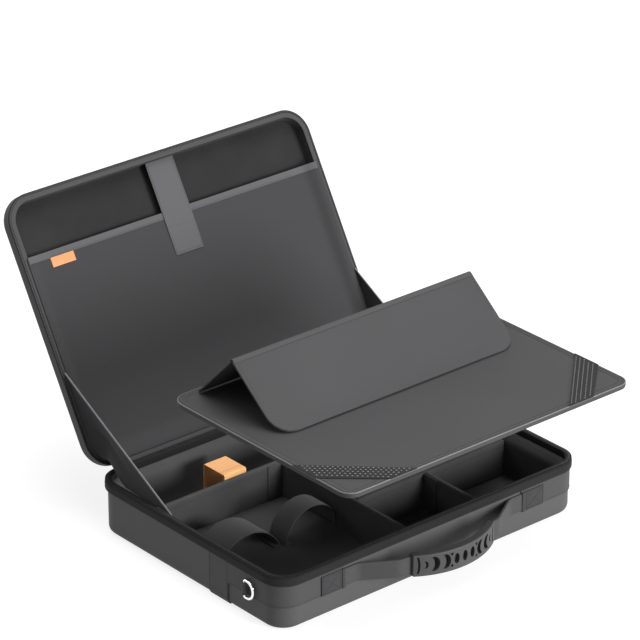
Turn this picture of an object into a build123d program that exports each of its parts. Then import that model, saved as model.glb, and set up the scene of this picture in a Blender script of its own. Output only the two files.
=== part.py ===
from build123d import *
import os
from math import cos, radians, sin, sqrt

# Zipped hard case for a laptop, opened, with its laptop board raised.  Millimetres.
# X runs to the right, Y to the back and Z up.  The origin is the middle of the tray's underside.
# The tray faces up, its handle is in front, and the lid stands open on the rear rim.

os.makedirs("parts", exist_ok=True)

SIDES = ((-1, "left"), (1, "right"))

# Tray shell
TRAY_W = 408.0
TRAY_D = 293.4
TRAY_H = 60.5
TRAY_R = 24.0
FOOT_R = 8.0
SHELL_T = 3.0

# Tray rim: cloth binding, zipper tape and zipper coil
BINDING_T = 3.0
BINDING_H = 9.5
TAPE_T = 1.1
TAPE_IN = 4.0
TAPE_DROP = 5.9
COIL_IN = 1.8
COIL_OUT = 1.0
COIL_H = 0.9

# Tray lining
LINING_T = 10.0
LINING_FLOOR = 5.0
SHOULDER_Z = 47.0
LINING_TOP = 54.5
SHOULDER_T = 1.5

# Dividers
DIVIDER_T = 5.5
LEFT_DIVIDER_T = 4.5
LONG_FROM_REAR = 76.7
LONG_Y = TRAY_D / 2 - LONG_FROM_REAR
LEFT_X = -20.0
MID_Y = -48.0
RIGHT_X = 75.4
TAB_LENGTH = 19.5
TAB_T = 1.2
SLIDE_GAP = 0.3

# Holding loops
LOOP_T = 1.2
POWER_LOOP_X = -93.0
POWER_LOOP_W = 29.0
POWER_LOOP_Z = 52.0
POWER_LOOP_REACH = 41.0
POWER_LOOP_BACK = LONG_Y + POWER_LOOP_REACH
POWER_LOOP_LEG_Z = 25.0
POWER_LOOP_BEND_R = 2.5
CHARGER_LOOP_X = (-175.0, -131.0, -91.0)
CHARGER_LOOP_Z = 33.0
CHARGER_LOOP_Y = (-12.0, 28.0)
CABLE_LOOP_X = (-88.0, -52.0, -21.0)
CABLE_LOOP_Z = (40.0, 22.0)
CABLE_LOOP_Y = (-18.0, 9.0)
LOOP_FOOT = 8.0

# Webbing
WEB_T = 1.2
BAND_Z = (26.0, 51.0)
BAND_END_X = 121.0
SIDE_BAND_FROM_FRONT = (80.5, 110.4)
SIDE_BAND_Y = tuple(run - TRAY_D / 2 for run in SIDE_BAND_FROM_FRONT)
ANCHOR_X = (121.0, 125.3, 152.0)
ANCHOR_Z = (26.0, 48.0)
ANCHOR_T = 1.4
FOLD_T = 2.2

# D-rings
RING_OUT = 4.5
RING_FROM_FRONT = 49.9
RING_X = TRAY_W / 2 + RING_OUT
RING_Y = RING_FROM_FRONT - TRAY_D / 2
RING_Z = (24.8, 44.0)
RING_REACH = 13.2
RING_WIRE_R = 1.5
RING_FOOT_R = 2.0
RING_BOW_SHARE = 0.49
SLEEVE_Z = (27.8, 41.0)
SLEEVE_R = 3.3
SLEEVE_BORE_R = 1.8

# Handle
GRIP_HALF = 55.0
GRIP_APEX_OUT = 47.8
GRIP_END_OUT = 30.8
GRIP_APEX_Y = -TRAY_D / 2 - GRIP_APEX_OUT
GRIP_END_Y = -TRAY_D / 2 - GRIP_END_OUT
GRIP_T = 9.0
GRIP_Z = (25.0, 49.5)
GRIP_EDGE_R = 1.5
GRIP_END_R = 3.0
GRIP_PATTERN_Z = 38.0
GRIP_POCKET = 5.0
OVAL_X = 10.6
OVAL_HALF = (3.2, 6.0)
CROSS_X = 16.6
CROSS_HALF = (2.2, 7.8)
CROSS_GAP = 4.4
CRESCENTS = ((24.0, 8.1, 6.2), (36.0, 8.1, 6.2), (44.0, 4.0, 2.6))
CRESCENT_SHIFT = 0.9
CRESCENT_OPEN = 1.02
GROOVE_X = 51.2
GROOVE_HALF = (2.2, 9.6)
STRAP_T = 2.2
STRAP_Z = (27.5, 47.0)
STRAP_ROOT_X = 120.7
STRAP_ROOT_OUT = 1.5
STRAP_BENDS = ((104.0, 1.5), (68.0, 23.8))
STRAP_GRIP_OUT = 26.3
STRAP_BEND_R = 18.0

# Lid, in its own plane: s runs from the hinge axis across the lid, depth runs outwards
LID_ANGLE = 120.2
HINGE_OUT = 4.0
HINGE_Y = TRAY_D / 2 + HINGE_OUT
HINGE_Z = 63.0
LID_NARROWER = 2.0
LID_LONGER = 3.6
LID_W = TRAY_W - LID_NARROWER
LID_LENGTH = TRAY_D + LID_LONGER
LID_START = 1.0
LID_R = 30.0
LID_EDGE_R = 7.4
LID_DEPTH = 18.2
LID_FACE = 2.4
LID_SHELL_T = 2.5
LID_LINING_T = 6.0
LID_BACK_T = 1.2
LID_TAPE_T = 1.0
LID_TAPE_OUT = (2.2, 0.6)
LID_COIL_OUT = (1.8, 0.3)
LID_COIL_IN = (0.1, -1.3)
LID_COIL_R = (1.0, -0.7)
LID_TAPE_SHIFT = 0.6
LID_BINDING_IN = 2.0
LID_BINDING_W = 6.5
LID_BINDING_T = 1.4

# Lid pocket, label and closure strap
POCKET_DEPTH = 7.5
POCKET_T = 1.2
POCKET_FLANGE_T = 1.5
POCKET_FROM_SIDE = 9.5
POCKET_HALF = LID_W / 2 - POCKET_FROM_SIDE
POCKET_FROM_FAR = 66.0
POCKET_FROM_HINGE = 10.5
POCKET_S = (POCKET_FROM_HINGE, LID_LENGTH - POCKET_FROM_FAR)
POCKET_R = 19.5
POCKET_TRIM_T = 0.6
POCKET_TRIM_SPAN = (-4.6, 2.9)
POCKET_TRIM_S = tuple(POCKET_S[1] + run for run in POCKET_TRIM_SPAN)
LABEL_FROM_SIDE = (27.6, 57.5)
LABEL_X = tuple(run - POCKET_HALF for run in LABEL_FROM_SIDE)
LABEL_BELOW_TRIM = (10.4, 0.1)
LABEL_S = tuple(POCKET_TRIM_S[0] - run for run in LABEL_BELOW_TRIM)
LABEL_T = 0.8
CLOSURE_X = (-14.5, 22.5)
CLOSURE_FROM_FAR = 111.0
CLOSURE_END = LID_START + LID_LENGTH - LID_SHELL_T - LID_LINING_T
CLOSURE_S = (LID_LENGTH - CLOSURE_FROM_FAR, CLOSURE_END)
CLOSURE_DEPTH = 5.6
CLOSURE_T = 1.2
CLOSURE_PAD_IN = 4.0
CLOSURE_PAD_LENGTH = 25.0
CLOSURE_PAD_START = CLOSURE_S[0] + CLOSURE_PAD_IN
CLOSURE_PAD_S = (CLOSURE_PAD_START, CLOSURE_PAD_START + CLOSURE_PAD_LENGTH)

# Hinge tape and gussets
HINGE_BEAD_R = 0.85
HINGE_END_IN = 28.0
HINGE_HALF = TRAY_W / 2 - HINGE_END_IN
HINGE_TAPE_T = 0.8
HINGE_TAPE_Z = 50.0
GUSSET_T = 0.8
GUSSET_CLEAR = 0.3
GUSSET_X = TRAY_W / 2 - TAPE_IN - GUSSET_CLEAR - GUSSET_T / 2
GUSSET_BELOW_RIM = 3.0
GUSSET_LID_S = 108.5
GUSSET_TRAY_RUN = 119.7
GUSSET_TRAY_Y = HINGE_Y - GUSSET_TRAY_RUN
GUSSET_FROM_HINGE = 28.5

# Laptop board
BOARD_NARROWER = 27.0
BOARD_SHORTER = 18.8
BOARD_W = TRAY_W - BOARD_NARROWER
BOARD_D = TRAY_D - BOARD_SHORTER
BOARD_T = 5.5
BOARD_Y = -96.1
BOARD_Z = 181.6
BOARD_FRONT_R = 15.0
BOARD_BACK_R = 18.0
BOARD_EDGE_W = 8.0
BOARD_CORE_IN = 2.0
BOARD_SKIN_T = 0.6
BOARD_TOP_T = 0.8
BOARD_FRONT = BOARD_Y - BOARD_D / 2
ELASTIC_FROM_FRONT = (83.6, 48.6)
ELASTIC_SIDE_Y = tuple(BOARD_FRONT + run for run in ELASTIC_FROM_FRONT)
ELASTIC_FROM_SIDE = (54.5, 88.5)
ELASTIC_FRONT_X = tuple(BOARD_W / 2 - run for run in ELASTIC_FROM_SIDE)
ELASTIC_T = 1.0

# Stand under the laptop
STAND_IN = 29.5
STAND_HALF = BOARD_W / 2 - STAND_IN
STAND_T = 2.5
STAND_HINGE_FROM_REAR = 9.2
STAND_HINGE_Y = BOARD_Y + BOARD_D / 2 - STAND_HINGE_FROM_REAR
STAND_HINGE_UP = 1.55
LEG_DEPTH = 53.5
RIDGE_Y = STAND_HINGE_Y - LEG_DEPTH
RIDGE_Z = 243.5
RIDGE_GAP = 1.7
FLAP_SLOPE = 38.8
FLAP_STRAIGHT = 68.0
FLAP_CURVE = 27.0
FLAP_TURN = 24.0
FLAP_CORNER_R = 25.0

# Zipper slider and pull
SLIDER_FROM_REAR = 46.7
SLIDER_Y = TRAY_D / 2 - SLIDER_FROM_REAR
SLIDER_OUT = (3.3, 4.8)
SLIDER_X = tuple(TRAY_W / 2 + out for out in SLIDER_OUT)
SLIDER_LENGTH = 12.0
SLIDER_Z = (54.0, 62.0)
PIN_OUT = 7.2
PIN_X = TRAY_W / 2 + PIN_OUT
PIN_Z = 58.0
PIN_R = 0.8
EYE_BORE_R = 1.1
EYE_R = 1.9
LUG_OUT = 8.6
LUG_X = TRAY_W / 2 + LUG_OUT
LUG_HALF_Z = 1.6
LUG_Y = (2.9, 4.1)
PULL_OUT = (6.2, 8.2)
PULL_X = tuple(TRAY_W / 2 + out for out in PULL_OUT)
PULL_W = 8.0
PULL_Z = (34.0, 55.4)
PULL_NECK_W = 4.6

# Worked out from the sizes above
INNER_W = TRAY_W - 2 * (SHELL_T + LINING_T)
INNER_D = TRAY_D - 2 * (SHELL_T + LINING_T)
FRONT_WALL = -INNER_D / 2
RIGHT_WALL = INNER_W / 2
TRAY_FRONT = -TRAY_D / 2
RIM_TOP = TRAY_H + TAPE_T
LID_PLANE = Plane(
    origin=(0, HINGE_Y, HINGE_Z),
    x_dir=(1, 0, 0),
    z_dir=(0, sin(radians(LID_ANGLE)), cos(radians(LID_ANGLE))),
)
LID_MID_S = LID_START + LID_LENGTH / 2
LID_INNER_BACK = LID_DEPTH - LID_SHELL_T - LID_BACK_T
BOARD_TOP = BOARD_Z + BOARD_T
STAND_HINGE_Z = BOARD_TOP + STAND_HINGE_UP


def save(piece, name):
    """Label one finished piece and write it."""
    piece.label = name
    export_step(piece, f"parts/{name}.step")


def middle(pair):
    """Half way between two limits."""
    return (pair[0] + pair[1]) / 2


def size(pair):
    """Distance between two limits."""
    return abs(pair[1] - pair[0])


def put_block(x, y, z, mode=Mode.ADD):
    """Box between three pairs of limits, in the current part."""
    with Locations((middle(x), middle(y), middle(z))):
        Box(size(x), size(y), size(z), mode=mode)


def block(x, y, z):
    """Box of its own between three pairs of limits."""
    with BuildPart() as made:
        put_block(x, y, z)
    return made.part


def ring(plane, outer, inner, height):
    """Upright ring between two rounded rectangles, each given as (width, depth, radius, centre y)."""
    with BuildPart() as made:
        with BuildSketch(plane):
            for outline, mode in ((outer, Mode.ADD), (inner, Mode.SUBTRACT)):
                width, depth, radius, centre = outline
                with Locations((0, centre)):
                    RectangleRounded(width, depth, radius, mode=mode)
        extrude(amount=height)
    return made.part


def tray_outline(grow):
    """Rounded rectangle that stands `grow` outside the tray shell."""
    return (TRAY_W + 2 * grow, TRAY_D + 2 * grow, TRAY_R + grow, 0)


def lid_outline(inset):
    """Rounded rectangle `inset` inside the lid's edge, in the lid's plane."""
    return (LID_W - 2 * inset, LID_LENGTH - 2 * inset, LID_R - inset, -LID_MID_S)


def lid_block(x, s, depth, mode=Mode.ADD):
    """Box in the lid's plane, in the current part."""
    with BuildSketch(LID_PLANE.offset(depth[0])) as shape:
        with Locations((middle(x), -middle(s))):
            Rectangle(size(x), size(s))
    extrude(shape.sketch, amount=size(depth), mode=mode)


# ---------------------------------------------------------------- tray

def tray_body(grow, height):
    """Solid outer shape of the tray, `grow` outside the shell, with its bottom edge rounded."""
    with BuildPart() as made:
        with BuildSketch(Plane.XY.offset(-grow)):
            RectangleRounded(TRAY_W + 2 * grow, TRAY_D + 2 * grow, TRAY_R + grow)
        extrude(amount=height + grow)
        fillet(made.faces().sort_by(Axis.Z)[0].edges(), FOOT_R + grow)
    return made.part


def make_base_shell():
    """Moulded tray shell, open at the top."""
    with BuildPart() as made:
        add(tray_body(0, TRAY_H))
        offset(amount=-SHELL_T, openings=made.faces().sort_by(Axis.Z)[-1])
    return made.part


def make_base_lining():
    """Padded lining with thick walls and a shoulder that slopes out to the rim."""
    shoulder_out = INNER_W / 2 + LINING_T - SHOULDER_T
    shoulder = shoulder_out - INNER_W / 2
    with BuildPart() as made:
        with BuildSketch(Plane.XY.offset(SHELL_T)):
            RectangleRounded(TRAY_W - 2 * SHELL_T, TRAY_D - 2 * SHELL_T, TRAY_R - SHELL_T)
        extrude(amount=LINING_TOP - SHELL_T)
        fillet(made.faces().sort_by(Axis.Z)[0].edges(), FOOT_R - SHELL_T)
        with BuildSketch(Plane.XY.offset(LINING_FLOOR)):
            RectangleRounded(INNER_W, INNER_D, TRAY_R - SHELL_T - LINING_T)
        extrude(amount=SHOULDER_Z - LINING_FLOOR, mode=Mode.SUBTRACT)
        with BuildSketch(Plane.XY.offset(SHOULDER_Z)):
            RectangleRounded(INNER_W, INNER_D, TRAY_R - SHELL_T - LINING_T)
        with BuildSketch(Plane.XY.offset(LINING_TOP)):
            RectangleRounded(
                INNER_W + 2 * shoulder,
                INNER_D + 2 * shoulder,
                TRAY_R - SHELL_T - LINING_T + shoulder,
            )
        loft(ruled=True, mode=Mode.SUBTRACT)
    return made.part


def make_zipper_tape():
    """Zipper tape: a flat ring over the rim with a strip down its inner side."""
    inner = tray_outline(-TAPE_IN)
    with BuildPart() as made:
        add(ring(Plane.XY.offset(TRAY_H), tray_outline(BINDING_T), inner, TAPE_T))
        strip = tray_outline(-SHELL_T)
        add(ring(Plane.XY.offset(TRAY_H - TAPE_DROP), strip, inner, TAPE_DROP))
    return made.part


save(make_base_shell(), "base_shell")
save(make_base_lining(), "base_lining")
save(
    ring(Plane.XY.offset(TRAY_H - BINDING_H), tray_outline(BINDING_T), tray_outline(0), BINDING_H),
    "base_binding",
)
save(make_zipper_tape(), "base_zipper_tape")
save(
    ring(Plane.XY.offset(RIM_TOP), tray_outline(COIL_OUT), tray_outline(-COIL_IN), COIL_H),
    "base_zipper_coil",
)


# ---------------------------------------------------------------- dividers

DIVIDER_Z = (LINING_FLOOR, SHOULDER_Z)
LEFT_FACE = LEFT_X + LEFT_DIVIDER_T

save(
    block((-RIGHT_WALL, RIGHT_WALL), (LONG_Y, LONG_Y + DIVIDER_T), DIVIDER_Z),
    "divider_long",
)

with BuildPart() as divider_left:
    put_block((LEFT_X, LEFT_FACE), (FRONT_WALL, LONG_Y), DIVIDER_Z)
    put_block((LEFT_X - TAB_LENGTH, LEFT_X), (LONG_Y - TAB_T, LONG_Y), DIVIDER_Z)
save(divider_left.part, "divider_left")

save(
    block((LEFT_FACE, RIGHT_WALL), (MID_Y, MID_Y + DIVIDER_T), DIVIDER_Z),
    "divider_mid",
)

with BuildPart() as divider_right:
    loose_y = (FRONT_WALL + SLIDE_GAP, MID_Y - SLIDE_GAP)
    loose_z = (LINING_FLOOR + SLIDE_GAP, SHOULDER_Z)
    put_block((RIGHT_X, RIGHT_X + DIVIDER_T), loose_y, loose_z)
    put_block((RIGHT_X - TAB_T, RIGHT_X), (loose_y[1] - TAB_LENGTH, loose_y[1]), loose_z)
save(divider_right.part, "divider_right")


# ---------------------------------------------------------------- holding loops

with BuildPart() as power_bank_loop:
    with BuildSketch(Plane.YZ.offset(POWER_LOOP_X)):
        with BuildLine():
            FilletPolyline(
                (LONG_Y + DIVIDER_T + LOOP_T / 2, POWER_LOOP_LEG_Z),
                (LONG_Y + DIVIDER_T + LOOP_T / 2, POWER_LOOP_Z - LOOP_T / 2),
                (POWER_LOOP_BACK - LOOP_T / 2, POWER_LOOP_Z - LOOP_T / 2),
                (POWER_LOOP_BACK - LOOP_T / 2, LINING_FLOOR),
                radius=POWER_LOOP_BEND_R,
            )
        trace(line_width=LOOP_T)
    extrude(amount=POWER_LOOP_W)
save(power_bank_loop.part, "power_bank_loop")

with BuildPart() as charger_loop:
    with BuildSketch(Plane.XZ.offset(-CHARGER_LOOP_Y[1])):
        start, crown, end = CHARGER_LOOP_X
        with BuildLine():
            ThreePointArc((start, LINING_FLOOR), (crown, CHARGER_LOOP_Z), (end, LINING_FLOOR))
        trace(line_width=LOOP_T)
        for foot, way in ((start, 1), (end, -1)):
            with Locations((foot + way * LOOP_FOOT / 2, LINING_FLOOR + LOOP_T / 2)):
                Rectangle(LOOP_FOOT, LOOP_T)
    extrude(amount=size(CHARGER_LOOP_Y))
    split(bisect_by=Plane.XY.offset(LINING_FLOOR), keep=Keep.TOP)
save(charger_loop.part, "charger_loop")

with BuildPart() as cable_loop:
    with BuildSketch(Plane.XZ.offset(-CABLE_LOOP_Y[1])):
        start, crown, end = CABLE_LOOP_X
        crown_z, end_z = CABLE_LOOP_Z
        with BuildLine():
            ThreePointArc((start, LINING_FLOOR), (crown, crown_z), (end, end_z))
        trace(line_width=LOOP_T)
        with Locations((start + LOOP_FOOT / 2, LINING_FLOOR + LOOP_T / 2)):
            Rectangle(LOOP_FOOT, LOOP_T)
        with Locations((LEFT_X - LOOP_T / 2, end_z - LOOP_FOOT / 2)):
            Rectangle(LOOP_T, 2 * LOOP_FOOT)
    extrude(amount=size(CABLE_LOOP_Y))
    split(bisect_by=Plane.XY.offset(LINING_FLOOR), keep=Keep.TOP)
save(cable_loop.part, "cable_loop")


# ---------------------------------------------------------------- webbing, handle anchors, D-rings

def make_webbing_band(side):
    """Band sewn round the front corner, from the side band to the handle anchor."""
    with BuildPart() as made:
        add(ring(Plane.XY.offset(BAND_Z[0]), tray_outline(WEB_T), tray_outline(0), size(BAND_Z)))
        far = TRAY_W / 2 + 2 * WEB_T
        reach_y = (TRAY_FRONT - 2 * WEB_T, SIDE_BAND_Y[0])
        put_block((side * BAND_END_X, side * far), reach_y, BAND_Z, mode=Mode.INTERSECT)
    return made.part


def make_side_band(side):
    """Upright band on the tray's side, wrapped round the bottom edge."""
    with BuildPart() as made:
        add(tray_body(WEB_T, BAND_Z[1]))
        add(tray_body(0, BAND_Z[1]), mode=Mode.SUBTRACT)
        near = TRAY_W / 2 - FOOT_R
        far = TRAY_W / 2 + 2 * WEB_T
        put_block((side * near, side * far), SIDE_BAND_Y, (0, BAND_Z[1]), mode=Mode.INTERSECT)
    return made.part


def make_handle_anchor(side):
    """Sewn end of the handle webbing, with the fold that the strap comes out of."""
    fold, patch, end = ANCHOR_X
    face = TRAY_FRONT - WEB_T
    with BuildPart() as made:
        put_block((side * patch, side * end), (face - ANCHOR_T, face), ANCHOR_Z)
        put_block((side * fold, side * patch), (face - FOLD_T, face), ANCHOR_Z)
    return made.part


def make_ring_sleeve(side):
    """Sewn webbing sleeve that holds the D-ring's bar."""
    wall = TRAY_W / 2 + WEB_T
    with BuildPart() as made:
        root_y = (RING_Y - SLEEVE_R, RING_Y + SLEEVE_R)
        put_block((side * wall, side * (RING_X - RING_WIRE_R)), root_y, SLEEVE_Z)
        with Locations((side * RING_X, RING_Y, middle(SLEEVE_Z))):
            Cylinder(SLEEVE_R, size(SLEEVE_Z))
            Cylinder(SLEEVE_BORE_R, size(SLEEVE_Z), mode=Mode.SUBTRACT)
    return made.part


def make_d_ring(side):
    """D-ring of round wire: an upright bar and a bow that points to the front at rest."""
    low, high = RING_Z
    tip = RING_Y - RING_REACH
    bow_r = RING_BOW_SHARE * (high - low)
    with BuildPart() as made:
        with BuildLine(Plane.YZ.offset(side * RING_X)) as wire:
            FilletPolyline(
                (RING_Y, middle(RING_Z)),
                (RING_Y, low),
                (tip, low),
                (tip, high),
                (RING_Y, high),
                radius=[0, RING_FOOT_R, bow_r, bow_r, RING_FOOT_R],
                close=True,
            )
        with BuildSketch(Plane(origin=wire.line @ 0, z_dir=wire.line % 0)):
            Circle(RING_WIRE_R)
        sweep()
    return made.part


for side, word in SIDES:
    save(make_webbing_band(side), f"webbing_band_{word}")
    save(make_side_band(side), f"side_band_{word}")
    save(make_handle_anchor(side), f"handle_anchor_{word}")
    save(make_ring_sleeve(side), f"d_ring_loop_{word}")
    save(make_d_ring(side), f"d_ring_{word}")


# ---------------------------------------------------------------- handle

GRIP_RISE = GRIP_END_Y - GRIP_APEX_Y
GRIP_ARC_R = (GRIP_HALF ** 2 + GRIP_RISE ** 2) / (2 * GRIP_RISE)
GRIP_CENTRE_Y = GRIP_APEX_Y + GRIP_ARC_R


def grip_y(x, radius):
    """Y of the grip's arc of this radius, at x."""
    return GRIP_CENTRE_Y - sqrt(radius ** 2 - x ** 2)


def cut_pocket(x, draw):
    """Sink one shaped pocket into the grip's outer face at x."""
    floor_y = grip_y(x, GRIP_ARC_R) + GRIP_POCKET
    with BuildSketch(Plane.XZ.offset(-floor_y)) as shape:
        with Locations((x, GRIP_PATTERN_Z)):
            draw()
    extrude(shape.sketch, amount=2 * GRIP_POCKET + 2, mode=Mode.SUBTRACT)


def draw_oval():
    """Upright oval."""
    Ellipse(*OVAL_HALF)


def draw_crescent(side, half_height, width):
    """Crescent that bulges away from the side where the grip ends."""
    with BuildSketch(mode=Mode.PRIVATE) as moon:
        Ellipse(width, half_height)
        with Locations((side * width * CRESCENT_SHIFT, 0)):
            Ellipse(width, half_height * CRESCENT_OPEN, mode=Mode.SUBTRACT)
    add(moon.sketch)


def draw_cross():
    """Two small triangles, points together."""
    half_w, half_h = CROSS_HALF
    for way in (-1, 1):
        with BuildSketch(mode=Mode.PRIVATE) as point:
            Polygon((-half_w, way * half_h), (half_w, way * half_h), (0, way * CROSS_GAP), align=None)
        add(point.sketch)




def make_grip():
    """Moulded grip, bowed forwards, with a row of sunk shapes in its face."""
    inner_r = GRIP_ARC_R - GRIP_T
    inner_end = grip_y(GRIP_HALF, inner_r)
    with BuildPart() as made:
        with BuildSketch(Plane.XY.offset(GRIP_Z[0])) as outline:
            with BuildLine():
                ThreePointArc((-GRIP_HALF, GRIP_END_Y), (0, GRIP_APEX_Y), (GRIP_HALF, GRIP_END_Y))
                Line((GRIP_HALF, GRIP_END_Y), (GRIP_HALF, inner_end))
                ThreePointArc((GRIP_HALF, inner_end), (0, GRIP_APEX_Y + GRIP_T), (-GRIP_HALF, inner_end))
                Line((-GRIP_HALF, inner_end), (-GRIP_HALF, GRIP_END_Y))
            make_face()
            fillet(outline.vertices().group_by(Axis.Y)[-1], GRIP_END_R)
        extrude(amount=size(GRIP_Z))
        fillet(made.edges().filter_by(Axis.Z, reverse=True), GRIP_EDGE_R)
        cut_pocket(0, draw_oval)
        for side in (-1, 1):
            cut_pocket(side * OVAL_X, draw_oval)
            cut_pocket(side * CROSS_X, draw_cross)
            for x, half_height, width in CRESCENTS:
                cut_pocket(side * x, lambda: draw_crescent(side, half_height, width))
            cut_pocket(side * GROOVE_X, lambda: draw_crescent(side, GROOVE_HALF[1], GROOVE_HALF[0]))
    return made.part


def make_handle_strap(side):
    """Webbing strap from its anchor to the grip."""
    with BuildPart() as made:
        with BuildSketch(Plane.XY.offset(STRAP_Z[0])):
            with BuildLine():
                FilletPolyline(
                    (side * STRAP_ROOT_X, TRAY_FRONT - STRAP_ROOT_OUT),
                    *[(side * x, TRAY_FRONT - out) for x, out in STRAP_BENDS],
                    (side * GRIP_HALF, TRAY_FRONT - STRAP_GRIP_OUT),
                    radius=STRAP_BEND_R,
                )
            trace(line_width=STRAP_T)
        extrude(amount=size(STRAP_Z))
        near = (side * GRIP_HALF, side * STRAP_ROOT_X)
        put_block(near, (GRIP_APEX_Y, TRAY_FRONT), STRAP_Z, mode=Mode.INTERSECT)
    return made.part


save(make_grip(), "handle_grip")
for side, word in SIDES:
    save(make_handle_strap(side), f"handle_strap_{word}")


# ---------------------------------------------------------------- lid

def lid_body(inset):
    """Solid shape of the lid, `inset` inside its outer skin, with its far edge rounded."""
    width, length, radius, centre = lid_outline(inset)
    with BuildPart() as made:
        with BuildSketch(LID_PLANE.offset(LID_FACE)):
            with Locations((0, centre)):
                RectangleRounded(width, length, radius)
        extrude(amount=LID_DEPTH - LID_FACE - inset)
        outer_face = made.faces().sort_by(Axis((0, 0, 0), LID_PLANE.z_dir))[-1]
        fillet(outer_face.edges(), LID_EDGE_R - inset)
    return made.part


def make_lid_shell():
    """Moulded lid shell, open towards the tray."""
    with BuildPart() as made:
        add(lid_body(0))
        add(lid_body(LID_SHELL_T), mode=Mode.SUBTRACT)
    return made.part


def make_lid_lining():
    """Padded lining of the lid: a frame of foam and a thin back."""
    width, length, radius, centre = lid_outline(LID_SHELL_T + LID_LINING_T)
    with BuildPart() as made:
        add(lid_body(LID_SHELL_T))
        with BuildSketch(LID_PLANE.offset(LID_FACE)):
            with Locations((0, centre)):
                RectangleRounded(width, length, radius)
        extrude(amount=LID_INNER_BACK - LID_FACE, mode=Mode.SUBTRACT)
    return made.part


def draw_pocket(inset, top_s):
    """Outline of the pocket: square at its mouth, rounded at the hinge side."""
    with BuildSketch(mode=Mode.PRIVATE) as outline:
        low = POCKET_S[0] + inset
        with Locations((0, -(low + top_s) / 2)):
            Rectangle(2 * (POCKET_HALF - inset), top_s - low)
        fillet(outline.vertices().group_by(Axis.Y)[-1], POCKET_R - inset)
    add(outline.sketch)


def make_pocket_panel():
    """Front panel of the lid pocket, with side and bottom walls back to the lining."""
    with BuildPart() as made:
        with BuildSketch(LID_PLANE.offset(POCKET_DEPTH)):
            draw_pocket(0, POCKET_S[1])
        extrude(amount=LID_INNER_BACK - POCKET_DEPTH)
        with BuildSketch(LID_PLANE.offset(POCKET_DEPTH + POCKET_T)):
            draw_pocket(POCKET_FLANGE_T, POCKET_S[1])
        extrude(amount=LID_INNER_BACK - POCKET_DEPTH - POCKET_T, mode=Mode.SUBTRACT)
    return made.part


def make_pocket_binding():
    """Cloth binding folded over the mouth of the pocket."""
    half = POCKET_HALF - POCKET_FLANGE_T - SLIDE_GAP
    span = (-half, half)
    outer = (POCKET_DEPTH - POCKET_TRIM_T, POCKET_DEPTH + POCKET_T + POCKET_TRIM_T)
    with BuildPart() as made:
        lid_block(span, POCKET_TRIM_S, outer)
        covered = (POCKET_TRIM_S[0], POCKET_S[1])
        lid_block(span, covered, (POCKET_DEPTH, POCKET_DEPTH + POCKET_T), mode=Mode.SUBTRACT)
    return made.part


def make_closure_strap():
    """Strap from the lid's far wall down over the pocket, with its hook-and-loop pad."""
    strap_back = CLOSURE_DEPTH + CLOSURE_T
    with BuildPart() as made:
        lid_block(CLOSURE_X, CLOSURE_S, (CLOSURE_DEPTH, strap_back))
        pad_x = (CLOSURE_X[0] + CLOSURE_PAD_IN, CLOSURE_X[1] - CLOSURE_PAD_IN)
        lid_block(pad_x, CLOSURE_PAD_S, (strap_back, POCKET_DEPTH))
    return made.part


save(make_lid_shell(), "lid_shell")
save(make_lid_lining(), "lid_lining")


def lid_zip_outline(grow, radius_grow):
    """Rounded rectangle of the lid's zipper, `grow` outside the lid's edge in x and in s."""
    centre = -(LID_MID_S + LID_TAPE_SHIFT)
    return (LID_W + 2 * grow[0], LID_LENGTH + 2 * grow[1], LID_R + radius_grow, centre)


LID_TAPE_OUTER = lid_zip_outline(LID_TAPE_OUT, LID_COIL_R[0])
LID_COIL_OUTER = lid_zip_outline(LID_COIL_OUT, LID_COIL_R[0])
LID_COIL_INNER = lid_zip_outline(LID_COIL_IN, LID_COIL_R[1])
TAPE_FACE = LID_FACE - LID_TAPE_T

save(
    ring(LID_PLANE.offset(TAPE_FACE), LID_TAPE_OUTER, lid_outline(LID_BINDING_IN), LID_TAPE_T),
    "lid_zipper_tape",
)
save(
    ring(LID_PLANE.offset(TAPE_FACE - COIL_H), LID_COIL_OUTER, LID_COIL_INNER, COIL_H),
    "lid_zipper_coil",
)
save(
    ring(
        LID_PLANE.offset(LID_FACE - LID_BINDING_T),
        lid_outline(LID_BINDING_IN),
        lid_outline(LID_BINDING_IN + LID_BINDING_W),
        LID_BINDING_T,
    ),
    "lid_binding",
)
save(make_pocket_panel(), "pocket_panel")
save(make_pocket_binding(), "pocket_binding")
save(make_closure_strap(), "closure_strap")

with BuildPart() as label_tab:
    lid_block(LABEL_X, LABEL_S, (POCKET_DEPTH - LABEL_T, POCKET_DEPTH))
save(label_tab.part, "label_tab")


# ---------------------------------------------------------------- hinge tape and gussets

with BuildPart() as hinge_tape:
    rear = TRAY_D / 2 + BINDING_T
    put_block((-HINGE_HALF, HINGE_HALF), (rear, rear + HINGE_TAPE_T), (HINGE_TAPE_Z, HINGE_Z))
    with Locations(Location((0, HINGE_Y, HINGE_Z), (0, 90, 0))):
        Cylinder(HINGE_BEAD_R, 2 * HINGE_HALF)
save(hinge_tape.part, "hinge_tape")


def make_gusset(side):
    """Cloth that stops the lid, from the lid's side to the tray's rim, in front of the rear corner."""
    rise = radians(LID_ANGLE)
    depth = LID_FACE - LID_BINDING_T - GUSSET_CLEAR
    foot_z = RIM_TOP - GUSSET_BELOW_RIM
    lid_edge = [
        (HINGE_Y - s * cos(rise) + depth * sin(rise), HINGE_Z + s * sin(rise) + depth * cos(rise))
        for s in (GUSSET_FROM_HINGE, GUSSET_LID_S)
    ]
    left_face = side * GUSSET_X - GUSSET_T / 2
    with BuildPart() as made:
        with BuildSketch(Plane.YZ.offset(left_face)):
            Polygon(
                (HINGE_Y - GUSSET_FROM_HINGE, foot_z),
                *lid_edge,
                (GUSSET_TRAY_Y, foot_z),
                align=None,
            )
        extrude(amount=GUSSET_T)
    return made.part


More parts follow.
